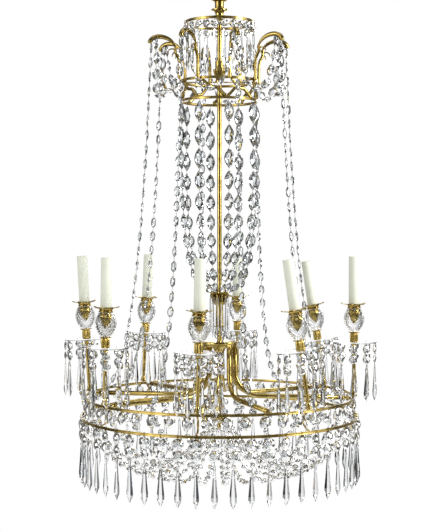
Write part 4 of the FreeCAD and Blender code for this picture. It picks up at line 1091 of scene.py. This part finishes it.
def blend(tree, kind, one, other, factor=1.0):
    node = tree.nodes.new("ShaderNodeMix")
    node.data_type = "RGBA"
    node.blend_type = kind
    for name, value in (("Factor", factor), ("A", one), ("B", other)):
        if isinstance(value, (float, tuple)):
            node.inputs[name].default_value = value
        else:
            tree.links.new(value, node.inputs[name])
    return node.outputs["Result"]


def background(tree, colour, strength):
    node = tree.nodes.new("ShaderNodeBackground")
    node.inputs["Strength"].default_value = strength
    if isinstance(colour, tuple):
        node.inputs["Color"].default_value = colour
    else:
        tree.links.new(colour, node.inputs["Color"])
    return node.outputs["Background"]


def choose(tree, factor, one, other):
    node = tree.nodes.new("ShaderNodeMixShader")
    tree.links.new(factor, node.inputs["Fac"])
    tree.links.new(one, node.inputs[1])
    tree.links.new(other, node.inputs[2])
    return node.outputs["Shader"]


def glass_room(tree, direction):
    """White walls on four sides, and broken-up dark ones between them."""
    walls = blend(tree, "MULTIPLY", patches(tree, direction, *WALL_PATCHES),
                  patches(tree, direction, *TINT_PATCHES), 0.85)
    walls = blend(tree, "MULTIPLY", walls, towards(tree, direction, UP, WALL_SLOPE))
    share = None
    for aim, start, whole, white in WHITE_WALLS:
        wall = towards(tree, direction, aim, ((start, BLACK), (whole, (white,) * 3)))
        share = wall if share is None else blend(tree, "ADD", share, wall)
    return blend(tree, "MIX", walls, WHITE, share)


def metal_room(tree, direction):
    """Soft boxes at the sides, above and behind, in a dark room."""
    left, right, above, rear = (towards(tree, direction, *box) for box in SOFT_BOXES)
    sides = blend(tree, "ADD", left, right)
    return blend(tree, "ADD", sides, blend(tree, "ADD", above, rear))


def make_world():
    """White to the camera. Glass, metal and plain surfaces see rooms of their own."""
    world = bpy.data.worlds.new("studio")
    bpy.context.scene.world = world
    world.use_nodes = True
    tree = world.node_tree
    tree.nodes.clear()
    out = tree.nodes.new("ShaderNodeOutputWorld")
    path = tree.nodes.new("ShaderNodeLightPath")
    direction = tree.nodes.new("ShaderNodeTexCoord").outputs["Generated"]
    soft = towards(tree, direction, (0.8, -0.2, 0.5), ((0.0, (0.62,) * 3), (1.0, FULL)))
    seen = background(tree, soft, 0.95)
    for ray, room in (
        ("Is Glossy Ray", background(tree, metal_room(tree, direction), 1.7)),
        ("Is Transmission Ray", background(tree, glass_room(tree, direction), 1.0)),
        ("Is Camera Ray", background(tree, WHITE, 1.0)),
    ):
        seen = choose(tree, path.outputs[ray], seen, room)
    tree.links.new(seen, out.inputs["Surface"])


def make_lamp(name, place, size, power, aim):
    data = bpy.data.lights.new(name, "AREA")
    data.shape = "RECTANGLE"
    data.size, data.size_y = size
    data.energy = power
    lamp = bpy.data.objects.new(name, data)
    lamp.location = place
    lamp.rotation_euler = (Vector(aim) - Vector(place)).to_track_quat("-Z", "Y").to_euler()
    bpy.context.scene.collection.objects.link(lamp)


def make_floor():
    disc = Shape()
    turn(disc, upright(FLOOR_HEIGHT), mm(*FLOOR_DISC), 96)
    mesh = bpy.data.meshes.new("floor")
    mesh.from_pydata(disc.points, [], disc.faces)
    mesh.materials.append(tinted("floor", 3.0, FLOOR_TONES, {"Roughness": 0.8})[0])
    floor = bpy.data.objects.new("floor", mesh)
    bpy.context.scene.collection.objects.link(floor)


def make_camera():
    data = bpy.data.cameras.new("camera")
    data.lens = 81.2
    data.sensor_width = 36
    data.clip_end = 50
    camera = bpy.data.objects.new("camera", data)
    camera.location = CAMERA_PLACE
    camera.rotation_euler = (math.radians(90 - CAMERA_PITCH), 0, 0)
    bpy.context.scene.collection.objects.link(camera)
    bpy.context.scene.camera = camera


make_world()
for lamp_facts in LAMPS:
    make_lamp(*lamp_facts)
make_floor()
make_camera()
bpy.context.scene.view_settings.view_transform = "Standard"
